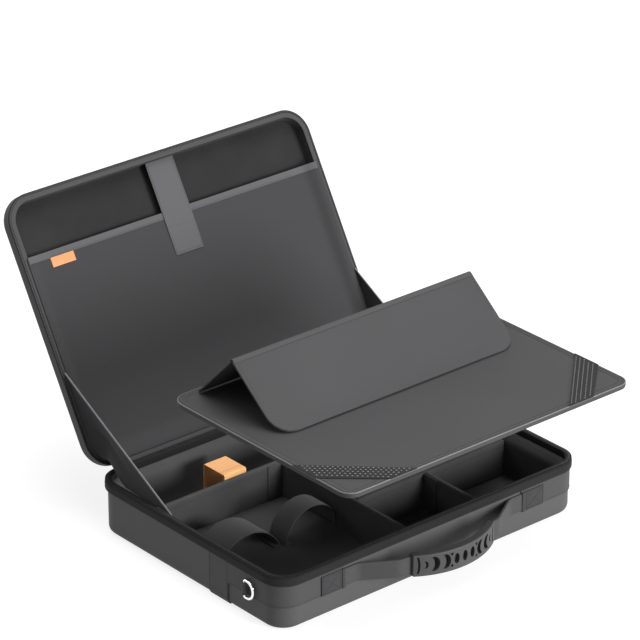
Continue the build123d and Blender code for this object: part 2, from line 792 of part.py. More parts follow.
for side, word in SIDES:
    save(make_gusset(side), f"gusset_{word}")


# ---------------------------------------------------------------- laptop board

def draw_board(inset, mode=Mode.ADD):
    """Board outline, `inset` inside its edge, for use inside a sketch."""
    with BuildSketch(mode=Mode.PRIVATE) as outline:
        with Locations((0, BOARD_Y)):
            Rectangle(BOARD_W - 2 * inset, BOARD_D - 2 * inset)
        fillet(outline.vertices().group_by(Axis.Y)[0], BOARD_FRONT_R - inset)
        fillet(outline.vertices().group_by(Axis.Y)[-1], BOARD_BACK_R - inset)
    add(outline.sketch, mode=mode)


def put_board_layer(inset, z, mode=Mode.ADD):
    """Layer of the board between two heights, in the current part."""
    with BuildSketch(Plane.XY.offset(z[0])) as layer:
        draw_board(inset)
    extrude(layer.sketch, amount=size(z), mode=mode)


CORE_Z = (BOARD_Z + BOARD_SKIN_T, BOARD_TOP - BOARD_TOP_T)

with BuildPart() as board_core:
    put_board_layer(BOARD_CORE_IN, CORE_Z)
    put_board_layer(BOARD_EDGE_W, (BOARD_Z, CORE_Z[0]))
save(board_core.part, "board_core")

with BuildPart() as board_top_panel:
    put_board_layer(BOARD_EDGE_W, (CORE_Z[1], BOARD_TOP))
save(board_top_panel.part, "board_top_panel")

with BuildPart() as board_binding:
    put_board_layer(0, (BOARD_Z, BOARD_TOP))
    put_board_layer(BOARD_EDGE_W, (BOARD_Z, BOARD_TOP), mode=Mode.SUBTRACT)
    put_board_layer(BOARD_CORE_IN, CORE_Z, mode=Mode.SUBTRACT)
save(board_binding.part, "board_binding")


def make_corner_elastic(side):
    """Elastic band across a front corner of the board."""
    edge_x = BOARD_W / 2
    with BuildPart() as made:
        with BuildSketch(Plane.XY.offset(BOARD_TOP)):
            Polygon(
                (side * edge_x, ELASTIC_SIDE_Y[0]),
                (side * edge_x, ELASTIC_SIDE_Y[1]),
                (side * ELASTIC_FRONT_X[0], BOARD_FRONT),
                (side * ELASTIC_FRONT_X[1], BOARD_FRONT),
                align=None,
            )
            draw_board(0, mode=Mode.INTERSECT)
        extrude(amount=ELASTIC_T)
    return made.part


for side, word in SIDES:
    save(make_corner_elastic(side), f"corner_elastic_{word}")


# ---------------------------------------------------------------- stand

LEG_RUN = Vector(RIDGE_Y - STAND_HINGE_Y, RIDGE_Z - STAND_HINGE_Z)
LEG_WAY = LEG_RUN.normalized()
FLAP_WAY = Vector(-cos(radians(FLAP_SLOPE)), -sin(radians(FLAP_SLOPE)))
STAND_PLANE = Plane.YZ.offset(-STAND_HALF)

with BuildPart() as stand_leg:
    with BuildSketch(STAND_PLANE):
        with BuildLine():
            foot = Vector(STAND_HINGE_Y, STAND_HINGE_Z)
            Line(foot, foot + LEG_RUN - LEG_WAY * RIDGE_GAP)
        trace(line_width=STAND_T)
    extrude(amount=2 * STAND_HALF)
save(stand_leg.part, "stand_leg")

with BuildPart() as stand_flap:
    with BuildSketch(STAND_PLANE):
        with BuildLine():
            ridge = Vector(RIDGE_Y, RIDGE_Z)
            straight = Line(ridge + FLAP_WAY * RIDGE_GAP, ridge + FLAP_WAY * FLAP_STRAIGHT)
            JernArc(
                start=straight @ 1,
                tangent=straight % 1,
                radius=FLAP_CURVE / radians(FLAP_TURN),
                arc_size=-FLAP_TURN,
            )
        trace(line_width=STAND_T)
    extrude(amount=2 * STAND_HALF)
    tip_y = stand_flap.part.bounding_box().min.Y
    with BuildSketch(Plane.XY.offset(BOARD_TOP)) as plan:
        with Locations((0, (tip_y + RIDGE_Y) / 2)):
            Rectangle(2 * STAND_HALF, RIDGE_Y - tip_y)
        fillet(plan.vertices().group_by(Axis.Y)[0], FLAP_CORNER_R)
    extrude(amount=RIDGE_Z - BOARD_TOP, mode=Mode.INTERSECT)
save(stand_flap.part, "stand_flap")


# ---------------------------------------------------------------- zipper slider and pull

with BuildPart() as zipper_slider:
    put_block(SLIDER_X, (SLIDER_Y - SLIDER_LENGTH / 2, SLIDER_Y + SLIDER_LENGTH / 2), SLIDER_Z)
    for way in (-1, 1):
        lug_y = (SLIDER_Y + way * LUG_Y[0], SLIDER_Y + way * LUG_Y[1])
        put_block((SLIDER_X[1], LUG_X), lug_y, (PIN_Z - LUG_HALF_Z, PIN_Z + LUG_HALF_Z))
    with Locations(Location((PIN_X, SLIDER_Y, PIN_Z), (90, 0, 0))):
        Cylinder(PIN_R, 2 * LUG_Y[1])
save(zipper_slider.part, "zipper_slider")

with BuildPart() as zipper_pull:
    put_block(PULL_X, (SLIDER_Y - PULL_W / 2, SLIDER_Y + PULL_W / 2), PULL_Z)
    neck_y = (SLIDER_Y - PULL_NECK_W / 2, SLIDER_Y + PULL_NECK_W / 2)
    put_block(PULL_X, neck_y, (PULL_Z[1], PIN_Z))
    with Locations(Location((PIN_X, SLIDER_Y, PIN_Z), (90, 0, 0))):
        Cylinder(EYE_R, PULL_NECK_W)
        Cylinder(EYE_BORE_R, PULL_NECK_W, mode=Mode.SUBTRACT)
save(zipper_pull.part, "zipper_pull")
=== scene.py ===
import math

import bmesh
import bpy
from mathutils import Matrix, Vector, noise


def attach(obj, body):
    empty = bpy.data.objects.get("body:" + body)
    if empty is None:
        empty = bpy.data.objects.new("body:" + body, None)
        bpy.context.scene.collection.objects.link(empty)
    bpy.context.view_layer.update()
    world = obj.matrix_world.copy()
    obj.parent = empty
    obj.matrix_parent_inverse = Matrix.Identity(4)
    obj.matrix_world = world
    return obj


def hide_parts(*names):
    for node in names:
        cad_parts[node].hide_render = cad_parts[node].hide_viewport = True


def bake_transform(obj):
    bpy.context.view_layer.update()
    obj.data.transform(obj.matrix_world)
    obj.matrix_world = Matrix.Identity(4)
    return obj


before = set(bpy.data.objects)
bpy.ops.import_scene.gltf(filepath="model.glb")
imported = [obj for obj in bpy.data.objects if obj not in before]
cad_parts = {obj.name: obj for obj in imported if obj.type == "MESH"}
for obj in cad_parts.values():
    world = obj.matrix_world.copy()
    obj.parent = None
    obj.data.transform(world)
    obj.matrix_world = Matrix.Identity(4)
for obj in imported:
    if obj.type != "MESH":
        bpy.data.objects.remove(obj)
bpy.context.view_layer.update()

# The dividers' uneven padding comes from a noise that would otherwise differ from run to run
NOISE_SEED = 7
noise.seed_set(NOISE_SEED)

# A zipped hard case for a laptop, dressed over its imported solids.  Shapes are drawn in millimetres
# and MM turns them into metres.  X is right, Y is back, Z is up, and the tray stands on z = 0.

MM = 0.001
SIDES = ((-1, "left"), (1, "right"))

# Tray
TRAY_W, TRAY_D, TRAY_R = 408.0, 293.4, 24.0
LINING_IN = 13.0

# Lid plane: s runs from the hinge across the lid, depth runs outwards
LID_ANGLE = math.radians(120.2)
HINGE = Vector((0.0, 150.7, 63.0))
LID_W, LID_L, LID_R = 406.0, 297.0, 30.0
LID_START = 1.0
LID_MID = LID_START + LID_L / 2

# Laptop board
BOARD_W, BOARD_D, BOARD_Y = 381.0, 274.6, -96.1


# ---- materials

# Bump depths in metres, and webbing's cross yarns as shares of its ribs
GRAIN_DEPTH = 0.00006
NAP_DEPTH = 0.0002
WEAVE_DEPTH = 0.00008
WEAR_DEPTH = 0.00004
YARN_PITCH = 0.62
YARN_WEIGHT = 0.5


def add_node(nodes, kind, **settings):
    """Node with its input sockets set by name."""
    node = nodes.new(kind)
    for key, value in settings.items():
        node.inputs[key.replace("_", " ")].default_value = value
    return node


def maths(nodes, links, operation, *values):
    """Output of a Math node that takes other nodes' outputs or plain numbers."""
    node = nodes.new("ShaderNodeMath")
    node.operation = operation
    for socket, value in zip(node.inputs, values):
        if isinstance(value, bpy.types.NodeSocket):
            links.new(value, socket)
        else:
            socket.default_value = value
    return node.outputs["Value"]


class Finish:
    """Principled material, with the steps that add its detail."""

    def __init__(self, name, colour, **settings):
        self.material = bpy.data.materials.new(name)
        self.material.use_nodes = True
        self.nodes, self.links = self.material.node_tree.nodes, self.material.node_tree.links
        self.shader = self.nodes["Principled BSDF"]
        self.colour = colour
        self.shader.inputs["Base Color"].default_value = (*colour, 1)
        for key, value in settings.items():
            self.shader.inputs[key.replace("_", " ")].default_value = value

    def on_piece(self, kind, **settings):
        """Node that reads the piece's own axes."""
        node = add_node(self.nodes, kind, **settings)
        where = self.nodes.new("ShaderNodeTexCoord")
        self.links.new(where.outputs["Object"], node.inputs["Vector"])
        return node

    def maths(self, operation, *values):
        """Output of a Math node in this material."""
        return maths(self.nodes, self.links, operation, *values)

    def wave(self, way, pitch):
        """Sine wave along one coordinate, `pitch` millimetres long."""
        return self.maths("SINE", self.maths("MULTIPLY", way, math.tau / (pitch * MM)))

    def tint(self, factor, dark, light):
        """Colour that runs between two multiples of itself as a value goes from 0 to 1."""
        ramp = self.nodes.new("ShaderNodeValToRGB")
        for stop, share in zip(ramp.color_ramp.elements, (dark, light)):
            stop.color = (*(channel * share for channel in self.colour), 1)
        self.links.new(factor, ramp.inputs["Fac"])
        self.links.new(ramp.outputs["Color"], self.shader.inputs["Base Color"])

    def emboss(self, height, depth, strength):
        """Bump from a value."""
        bump = add_node(self.nodes, "ShaderNodeBump", Strength=strength, Distance=depth)
        self.links.new(height, bump.inputs["Height"])
        self.links.new(bump.outputs["Normal"], self.shader.inputs["Normal"])

    def weave(self, waves, reach, shades, depth, strength):
        """Colour and bump of a cloth from waves that add up to between -reach and reach."""
        level = add_node(self.nodes, "ShaderNodeMapRange", From_Min=-reach, From_Max=reach)
        self.links.new(waves, level.inputs["Value"])
        self.tint(level.outputs["Result"], *shades)
        self.emboss(level.outputs["Result"], depth, strength)


def cover_material(name, colour, roughness=0.62, grain=1500.0):
    """Smooth coated cloth over moulded foam: a fine even grain and faint clouding."""
    cover = Finish(name, colour, Roughness=roughness, Specular_IOR_Level=0.35)
    cloud = cover.on_piece("ShaderNodeTexNoise", Scale=9.0, Detail=3.0)
    pebble = cover.on_piece("ShaderNodeTexVoronoi", Scale=grain)
    cover.tint(cloud.outputs["Fac"], 0.88, 1.12)
    cover.emboss(pebble.outputs["Distance"], GRAIN_DEPTH, 0.6)
    return cover.material


def plush_material(name, colour):
    """Brushed lining cloth: matt, with a soft nap and a little sheen."""
    cloth = Finish(
        name, colour, Roughness=0.92, Specular_IOR_Level=0.2, Sheen_Weight=0.08, Sheen_Roughness=0.5,
    )
    nap = cloth.on_piece("ShaderNodeTexNoise", Scale=1400.0, Detail=4.0, Roughness=0.7)
    cloud = cloth.on_piece("ShaderNodeTexNoise", Scale=22.0, Detail=5.0)
    cloth.tint(cloth.maths("MULTIPLY", nap.outputs["Fac"], cloud.outputs["Fac"]), 0.55, 1.9)
    cloth.emboss(nap.outputs["Fac"], NAP_DEPTH, 0.7)
    return cloth.material


def knit_material(name, colour, pitch=1.1):
    """Fine plain-woven cloth seen on object axes."""
    cloth = Finish(name, colour, Roughness=0.8, Specular_IOR_Level=0.2, Sheen_Weight=0.04)
    split = cloth.on_piece("ShaderNodeSeparateXYZ")
    waves = []
    for one, other in (("X", "Y"), ("Y", "Z"), ("Z", "X")):
        waves.append(cloth.wave(cloth.maths("ADD", split.outputs[one], split.outputs[other]), pitch))
    total = cloth.maths("ADD", cloth.maths("ADD", waves[0], waves[1]), waves[2])
    cloth.weave(total, 3, (0.82, 1.18), WEAVE_DEPTH, 0.5)
    return cloth.material


def ribbed_material(name, colour, pitch=1.3, depth=0.00025):
    """Webbing or elastic: ribs along the strip, crossed by fine yarns, on the strip's own map."""
    cloth = Finish(name, colour, Roughness=0.75, Sheen_Weight=0.1)
    strip = cloth.nodes.new("ShaderNodeUVMap")
    strip.uv_map = "strip"
    split = cloth.nodes.new("ShaderNodeSeparateXYZ")
    cloth.links.new(strip.outputs["UV"], split.inputs["Vector"])
    ribs = cloth.wave(split.outputs["Y"], pitch)
    yarns = cloth.wave(split.outputs["X"], pitch * YARN_PITCH)
    total = cloth.maths("MULTIPLY_ADD", yarns, YARN_WEIGHT, ribs)
    cloth.weave(total, 1.5, (0.72, 1.2), depth, 0.7)
    return cloth.material


def plain_material(name, colour, roughness, metallic=0.0):
    """Moulded plastic, rubber or metal with a fine uneven surface."""
    finish = Finish(name, colour, Roughness=roughness, Metallic=metallic)
    wear = finish.on_piece("ShaderNodeTexNoise", Scale=260.0, Detail=5.0)
    finish.tint(wear.outputs["Fac"], 0.9, 1.1)
    finish.emboss(wear.outputs["Fac"], WEAR_DEPTH, 0.5)
    return finish.material


COVER = cover_material("moulded_cover", (0.076, 0.076, 0.078))
# The lid's shell is the same moulded cover as the tray's shell, painted darker: painted shade
LID_COVER_PAINTED_SHADE = cover_material("lid_cover_painted_shade", (0.044, 0.044, 0.046))
RIM_CLOTH = knit_material("rim_cloth", (0.014, 0.014, 0.015))
EDGE_CLOTH = knit_material("edge_cloth", (0.060, 0.060, 0.062))
TAPE_CLOTH = knit_material("tape_cloth", (0.010, 0.010, 0.011))
# The tray's lining and the lid's lining are one cloth: the tray's copy is painted lighter, as painted
# light against the shade inside the tray
LINING_PAINTED_LIGHT = plush_material("lining_cloth", (0.068, 0.068, 0.070))
LID_LINING = plush_material("lid_lining_cloth", (0.024, 0.024, 0.025))
ZIP_CLOTH = knit_material("zipper_cloth", (0.008, 0.008, 0.009))
ZIP_COIL = plain_material("zipper_coil", (0.022, 0.022, 0.023), 0.45)
WEBBING = ribbed_material("webbing", (0.048, 0.048, 0.050))
ORANGE = ribbed_material("orange_elastic", (1.0, 0.52, 0.21), pitch=0.9, depth=0.00015)
LABEL = plain_material("orange_label", (0.72, 0.27, 0.10), 0.5)
STEEL = plain_material("steel", (0.86, 0.86, 0.87), 0.12, metallic=1.0)
GRIP = cover_material("grip_rubber", (0.060, 0.060, 0.062), roughness=0.55, grain=2200.0)
POCKET = knit_material("pocket_cloth", (0.042, 0.042, 0.044), pitch=1.4)
GUSSET = knit_material("gusset_cloth", (0.030, 0.030, 0.032), pitch=1.2)
STRAP = knit_material("strap_cloth", (0.096, 0.096, 0.100), pitch=1.0)
BOARD = cover_material("board_cover", (0.043, 0.043, 0.045), roughness=0.68, grain=1100.0)
BOARD_CLOTH = knit_material("board_cloth", (0.064, 0.064, 0.066))
PIPING = plain_material("board_piping", (0.150, 0.150, 0.155), 0.6)
DOTTED = knit_material("dotted_elastic", (0.016, 0.016, 0.017), pitch=0.9)
SLIDER = plain_material("slider_metal", (0.03, 0.03, 0.032), 0.35, metallic=0.6)
THREAD = plain_material("thread", (0.014, 0.014, 0.015), 0.7)
PALE_THREAD = plain_material("pale_thread", (0.20, 0.20, 0.21), 0.7)
DOT = plain_material("elastic_dots", (0.26, 0.26, 0.27), 0.6)
ORANGE_THREAD = plain_material("orange_thread", (0.62, 0.20, 0.06), 0.7)
WEBBING_FLAT = knit_material("webbing_patch", (0.050, 0.050, 0.052), pitch=1.2)


# ---- building helpers

def add_object(name, data):
    """Object linked into the scene."""
    made = bpy.data.objects.new(name, data)
    bpy.context.scene.collection.objects.link(made)
    return made


def publish(bm, name, material, node=None, body=None):
    """Turn a bmesh in millimetres into a piece that stands for a CAD node and rides on a body."""
    bmesh.ops.transform(bm, matrix=Matrix.Scale(MM, 4), verts=bm.verts)
    mesh = bpy.data.meshes.new(name)
    bm.to_mesh(mesh)
    bm.free()
    mesh.materials.append(material)
    for polygon in mesh.polygons:
        polygon.use_smooth = True
    piece = add_object(name, mesh)
    mesh.set_sharp_from_angle(angle=math.radians(38))
    if node:
        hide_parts(node)
    if body:
        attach(piece, body)
    return piece


def to_lid(bm):
    """Move a piece drawn as (x, s, depth) into the open lid's place."""
    along = Vector((0, -math.cos(LID_ANGLE), math.sin(LID_ANGLE)))
    out = Vector((0, math.sin(LID_ANGLE), math.cos(LID_ANGLE)))
    place = Matrix.Identity(4)
    for row in range(3):
        place[row][0] = (1, 0, 0)[row]
        place[row][1] = along[row]
        place[row][2] = out[row]
        place[row][3] = HINGE[row]
    bmesh.ops.transform(bm, matrix=place, verts=bm.verts)
    bmesh.ops.reverse_faces(bm, faces=bm.faces)
    bmesh.ops.recalc_face_normals(bm, faces=bm.faces)


def publish_on_lid(bm, name, material, node=None):
    """Publish a piece drawn as (x, s, depth) on the lid."""
    to_lid(bm)
    return publish(bm, name, material, node, "lid")


class Outline:
    """Rounded rectangle with its own front and back corner radii."""

    def __init__(self, width, depth, front_r, back_r, centre=0.0, cuts=24):
        self.half_w, self.half_d = width / 2, depth / 2
        self.front_r, self.back_r = front_r, back_r
        self.centre, self.cuts = centre, cuts

    def outward(self, point):
        """Unit vector out of the outline at a point near it."""
        local_y = point[1] - self.centre
        radius = self.front_r if local_y < 0 else self.back_r
        core_x, core_y = self.half_w - radius, self.half_d - radius
        near_x = max(-core_x, min(core_x, point[0]))
        near_y = max(-core_y, min(core_y, local_y))
        return Vector((point[0] - near_x, local_y - near_y, 0)).normalized()

    def start(self, z):
        """New bmesh with the outline's edge loop at this height."""
        bm = bmesh.new()
        square = ((-1, -1), (1, -1), (1, 1), (-1, 1))
        bm.faces.new([
            bm.verts.new((x * self.half_w, self.centre + y * self.half_d, z)) for x, y in square
        ])
        bmesh.ops.subdivide_edges(bm, edges=bm.edges, cuts=2)
        for at_front, radius in ((True, self.front_r), (False, self.back_r)):
            picked = []
            for corner in bm.verts:
                x, y = abs(corner.co.x), corner.co.y - self.centre
                at_corner = abs(x - self.half_w) < 0.01 and abs(abs(y) - self.half_d) < 0.01
                if at_corner and (y < 0) == at_front:
                    picked.append(corner)
            bmesh.ops.bevel(
                bm, geom=picked, offset=radius, offset_type="OFFSET", segments=10,
                profile=0.5, affect="VERTICES", clamp_overlap=False, material=-1,
            )
        long_edges = [edge for edge in bm.edges if edge.calc_length() > 30]
        bmesh.ops.subdivide_edges(bm, edges=long_edges, cuts=self.cuts)
        bmesh.ops.delete(bm, geom=list(bm.faces), context="FACES_ONLY")
        return bm


def extrude(bm, ring):
    """Extrude a chain of edges; returns its new vertices and its new edges."""
    made = bmesh.ops.extrude_edge_only(bm, edges=ring)["geom"]
    fresh = [part for part in made if isinstance(part, bmesh.types.BMVert)]
    inside = set(fresh)
    edges = [part for part in made if isinstance(part, bmesh.types.BMEdge)]
    return fresh, [edge for edge in edges if set(edge.verts) <= inside]


def sweep_profile(outline, profile, filled=False):
    """Sweep (outset, height) steps round an outline; closes on itself unless its ends are filled."""
    bm = outline.start(profile[0][1])
    first = list(bm.edges)
    for corner in bm.verts:
        corner.co += outline.outward(corner.co) * profile[0][0]
    ring = first
    for before, after in zip(profile, profile[1:]):
        fresh, ring = extrude(bm, ring)
        for corner in fresh:
            corner.co += outline.outward(corner.co) * (after[0] - before[0])
            corner.co.z += after[1] - before[1]
    if filled:
        bmesh.ops.contextual_create(bm, geom=ring)
        bmesh.ops.contextual_create(bm, geom=first)
    else:
        bmesh.ops.bridge_loops(bm, edges=first + ring)
    bmesh.ops.recalc_face_normals(bm, faces=bm.faces)
    return bm


def soft_box(low, high, edge, segments=3, cuts=0, sag=0.0):
    """Box between two corners with rounded edges, gently uneven where it is cloth."""
    bm = bmesh.new()
    low, high = Vector(low), Vector(high)
    bmesh.ops.create_cube(bm, size=1.0)
    bmesh.ops.transform(bm, matrix=Matrix.Diagonal((*(high - low), 1)), verts=bm.verts)
    bmesh.ops.translate(bm, vec=(low + high) / 2, verts=bm.verts)
    bmesh.ops.bevel(
        bm, geom=list(bm.edges), offset=edge, segments=segments, profile=0.5,
        affect="EDGES", material=-1,
    )
    if cuts:
        long_edges = [part for part in bm.edges if part.calc_length() > 12]
        bmesh.ops.subdivide_edges(bm, edges=long_edges, cuts=cuts, use_grid_fill=True)
        for corner in bm.verts:
            corner.co += noise.noise_vector(corner.co * 0.03) * sag
    return bm


RIBBON_COLUMNS = 6


def thicken(bm, thickness):
    """Give a sheet of faces its thickness."""
    bmesh.ops.recalc_face_normals(bm, faces=bm.faces)
    bmesh.ops.solidify(bm, geom=list(bm.faces), thickness=thickness)


def ribbon(path, across, width, thickness):
    """Flat strip along a path of points; `across` is its width direction.  It has its own map."""
    bm = bmesh.new()
    strip = bm.loops.layers.uv.new("strip")
    across = Vector(across).normalized()
    points = [Vector(point) for point in path]
    row = []
    for k in range(RIBBON_COLUMNS + 1):
        row.append(bm.verts.new(points[0] + across * width * (k / RIBBON_COLUMNS - 0.5)))
    for one, other in zip(row, row[1:]):
        bm.edges.new((one, other))
    ring = list(bm.edges)
    length = 0.0
    for before, after in zip(points, points[1:]):
        fresh, ring = extrude(bm, ring)
        bmesh.ops.translate(bm, vec=after - before, verts=fresh)
        step = (after - before).length
        for face in {face for edge in ring for face in edge.link_faces}:
            for loop in face.loops:
                along = length + (step if loop.vert in fresh else 0.0)
                side = (loop.vert.co - points[0]).dot(across)
                loop[strip].uv = (along * MM, side * MM)
        length += step
    bmesh.ops.recalc_face_normals(bm, faces=bm.faces)
    bm.normal_update()
    for corner in bm.verts:
        corner.co += corner.normal * thickness / 2
    bmesh.ops.solidify(bm, geom=list(bm.faces), thickness=thickness)
    bmesh.ops.recalc_face_normals(bm, faces=bm.faces)
    return bm


def arc(centre, radius, start, end, steps):
    """Points on an arc, as (a, b) pairs, from one angle in degrees to another."""
    points = []
    for k in range(steps + 1):
        angle = math.radians(start + (end - start) * k / steps)
        points.append((centre[0] + radius * math.cos(angle), centre[1] + radius * math.sin(angle)))
    return points


def walk(path, pitch, start=0.0):
    """Points and directions every `pitch` along a path, the first one `start` along it."""
    points = [Vector(point) for point in path]
    wait = start
    for before, after in zip(points, points[1:]):
        step = after - before
        length = step.length
        if length < 1e-6:
            continue
        way = step / length
        while wait <= length:
            yield before + way * wait, way
            wait += pitch
        wait -= length


STITCH_START, STITCH_LIFT, STITCH_HEIGHT = 1.0, 0.12, 0.5


def add_stitches(bm, path, out, pitch=3.4, length=2.3, width=0.55):
    """Row of thread stitches along a path that lies on a surface facing `out`."""
    for point, way in walk(path, pitch, STITCH_START):
        up = Vector(out(point) if callable(out) else out).normalized()
        side = up.cross(way).normalized()
        turn = Matrix((way, side, up)).transposed().to_4x4()
        place = Matrix.Translation(point + up * STITCH_LIFT) @ turn
        size = Matrix.Diagonal((length, width, STITCH_HEIGHT, 1))
        bmesh.ops.create_icosphere(bm, subdivisions=1, radius=0.5, matrix=place @ size)


def sew(name, slot, body, rows, out, **stitch):
    """Publish rows of dark thread that share one outward direction."""
    seam = bmesh.new()
    for row in rows:
        add_stitches(seam, row, out, **stitch)
    return publish(seam, name, THREAD, body=body)


def rounded_path(corners, radius, steps):
    """Points of straight runs between corners, joined by arcs."""
    corners = [Vector(corner) for corner in corners]
    path = [corners[0]]
    for before, corner, after in zip(corners, corners[1:], corners[2:]):
        back = (before - corner).normalized()
        ahead = (after - corner).normalized()
        half = back.angle(ahead) / 2
        centre = corner + (back + ahead).normalized() * radius / math.sin(half)
        first = corner + back * radius / math.tan(half) - centre
        last = corner + ahead * radius / math.tan(half) - centre
        for k in range(steps + 1):
            path.append(centre + first.normalized().slerp(last.normalized(), k / steps) * radius)
    path.append(corners[-1])
    return path


def even_path(path, step):
    """The same path with points no further apart than `step`."""
    path = [Vector(point) for point in path]
    fine = [path[0]]
    for before, after in zip(path, path[1:]):
        count = max(1, round((after - before).length / step))
        fine += [before.lerp(after, k / count) for k in range(1, count + 1)]
    return fine


# ---- tray

TRAY = Outline(TRAY_W, TRAY_D, TRAY_R, TRAY_R)
CORNER_STEPS = 10


def outline_path(outline, outset, z):
    """Closed path round an outline, `outset` outside it."""
    path = []
    for side, back, start in ((1, -1, -90), (1, 1, 0), (-1, 1, 90), (-1, -1, 180)):
        radius = outline.front_r if back < 0 else outline.back_r
        centre = (
            side * (outline.half_w - radius),
            outline.centre + back * (outline.half_d - radius),
        )
        for x, y in arc(centre, radius + outset, start, start + 90, CORNER_STEPS):
            path.append(Vector((x, y, z)))
    path.append(path[0].copy())
    return path


def make_base_binding():
    """Cloth binding round the rim: two folded edges with a sunk seam between them."""
    section = [
        (0.1, 51.0), (2.3, 51.0), (2.9, 51.4), (3.1, 52.6), (3.2, 55.0), (3.2, 57.4),
        (3.05, 59.0), (2.7, 59.7), (2.3, 60.1), (1.9, 60.3), (0.1, 60.3),
    ]
    publish(
        sweep_profile(TRAY, section), "rim_binding", RIM_CLOTH, "base_binding", "tray",
    )
    sew(
        "rim_binding_seam", "rim_cloth", "tray", [outline_path(TRAY, 3.0, 52.4)], TRAY.outward,
        pitch=4.0,
    )


def make_base_zipper():
    """Zipper tape folded over the rim, and the row of coil teeth on it."""
    section = [
        (-3.0, 54.6), (-3.0, 60.5), (-2.4, 60.6), (2.5, 60.6), (2.8, 60.9), (2.8, 61.2),
        (2.4, 61.5), (-3.3, 61.7), (-3.8, 61.3), (-4.0, 60.4), (-4.0, 54.7),
    ]
    publish(
        sweep_profile(TRAY, section),
        "rim_zipper_tape", TAPE_CLOTH, "base_zipper_tape", "tray",
    )
    teeth = make_teeth(TRAY, -0.4, 61.95)
    publish(teeth, "rim_zipper_teeth", ZIP_COIL, "base_zipper_coil", "tray")


TOOTH_PITCH = 2.0
TOOTH_SIZE = (1.45, 2.9, 1.0, 1)


def make_teeth(outline, outset, height):
    """Ring of coil teeth lying across a zipper's edge."""
    teeth = bmesh.new()
    path = outline_path(outline, outset, height)
    up = Vector((0, 0, 1))
    for point, way in walk(path, TOOTH_PITCH):
        turn = Matrix((way, up.cross(way), up)).transposed().to_4x4()
        place = Matrix.Translation(point) @ turn @ Matrix.Diagonal(TOOTH_SIZE)
        bmesh.ops.create_icosphere(teeth, subdivisions=1, radius=0.5, matrix=place)
    return teeth


# The lining's walls are uneven only inside WALL_IN and between these heights
WALL_IN = 9.5
WALL_SOFT = (8, 50)
SOFTNESS = 0.6


def make_base_lining():
    """Padded lining: walls with a rolled shoulder that are gently uneven, and the floor."""
    section = [
        (-9.0, 3.1), (-4.6, 5.4), (-3.2, 10.0), (-3.1, 30.0), (-3.1, 52.6), (-3.5, 54.2),
        (-4.6, 54.5), (-6.2, 53.9), (-8.0, 52.2), (-9.9, 50.0), (-11.6, 47.9), (-12.6, 45.6),
        (-13.0, 42.0), (-13.05, 34.0), (-12.9, 24.0), (-12.95, 14.0), (-13.0, 8.0),
        (-13.5, 6.0), (-14.6, 5.1), (-16.5, 5.0),
    ]
    lining = sweep_profile(TRAY, section, filled=True)
    for corner in lining.verts:
        inner = abs(corner.co.x) < TRAY_W / 2 - WALL_IN and abs(corner.co.y) < TRAY_D / 2 - WALL_IN
        if inner and WALL_SOFT[0] < corner.co.z < WALL_SOFT[1]:
            soft = abs(noise.noise(corner.co * 0.022)) * SOFTNESS
            corner.co += TRAY.outward(corner.co) * soft
    # The lining's colour carries painted light against the shade in the tray
    piece = publish(lining, "padded_tray_lining", LINING_PAINTED_LIGHT, "base_lining", "tray")


WELT_IN, WELT_DROP = 5.0, 6.0


def make_dividers():
    """Padded dividers of the tray, each with a welted top edge."""
    wall_x = TRAY_W / 2 - LINING_IN
    front = -TRAY_D / 2 + LINING_IN
    boxes = (
        ("divider_long", "tray", (-wall_x, 70.0, 5.0), (wall_x, 75.5, 47.2)),
        ("divider_left", "tray", (-20.0, front, 5.0), (-15.5, 70.0, 47.0)),
        ("divider_mid", "tray", (-15.5, -48.0, 5.0), (wall_x, -42.5, 47.0)),
        ("divider_right", "sliding_divider", (75.4, front + 0.3, 5.3), (80.9, -48.3, 47.0)),
    )
    for node, body, low, high in boxes:
        board = soft_box(low, high, 1.7, segments=3, cuts=16, sag=0.22)
        if node == "divider_left":
            merge_into(board, soft_box((-39.5, 68.7, 5.2), (-20.0, 69.95, 46.4), 0.5))
        if node == "divider_right":
            merge_into(board, soft_box((74.2, -67.8, 5.4), (75.5, -48.4, 46.6), 0.5))
        # The dividers share the lining's colour with its painted light
        piece = publish(board, f"padded_{node}", LINING_PAINTED_LIGHT, node, body)
        seam = bmesh.new()
        along = 0 if high[0] - low[0] > high[1] - low[1] else 1
        across = 1 - along
        for face, way in ((low[across], -1), (high[across], 1)):
            start = Vector((face, face, high[2] - WELT_DROP))
            start[along] = low[along] + WELT_IN
            end = start.copy()
            end[along] = high[along] - WELT_IN
            out = Vector((0, 0, 0))
            out[across] = way
            add_stitches(seam, (start, end), out, pitch=4.2, length=2.8)
        publish(seam, f"{node}_seam", THREAD, body=body)


def merge_into(target, extra):
    """Add one bmesh's faces to another and free it."""
    spare = bpy.data.meshes.new("spare")
    extra.to_mesh(spare)
    extra.free()
    target.from_mesh(spare)
    bpy.data.meshes.remove(spare)


# ---- holding loops

def make_power_bank_loop():
    """Orange elastic loop: a stitched front leg, a flat top and a long back leg."""
    corners = ((-78.5, 76.1, 25.0), (-78.5, 76.1, 51.4), (-78.5, 110.4, 51.4), (-78.5, 110.4, 5.0))
    path = even_path(rounded_path(corners, 1.5, 6), 1.0)
    publish(
        ribbon(path, (1, 0, 0), 29.0, 1.2),
        "orange_power_bank_loop", ORANGE, "power_bank_loop", "tray",
    )
    seam = bmesh.new()
    # The row across the flat top is darker thread that paints the shade of a fold line there
    add_stitches(seam, ((-92.4, 83.2, 52.0), (-64.6, 83.2, 52.0)), (0, 0, 1), pitch=1.9, length=1.8)
    for z in (27.0, 29.2):
        add_stitches(seam, ((-92.0, 76.75, z), (-65.0, 76.75, z)), (0, 1, 0), pitch=2.4, length=1.8)
    publish(seam, "power_bank_loop_seam", ORANGE_THREAD, body="tray")


BOW_STEPS = 26


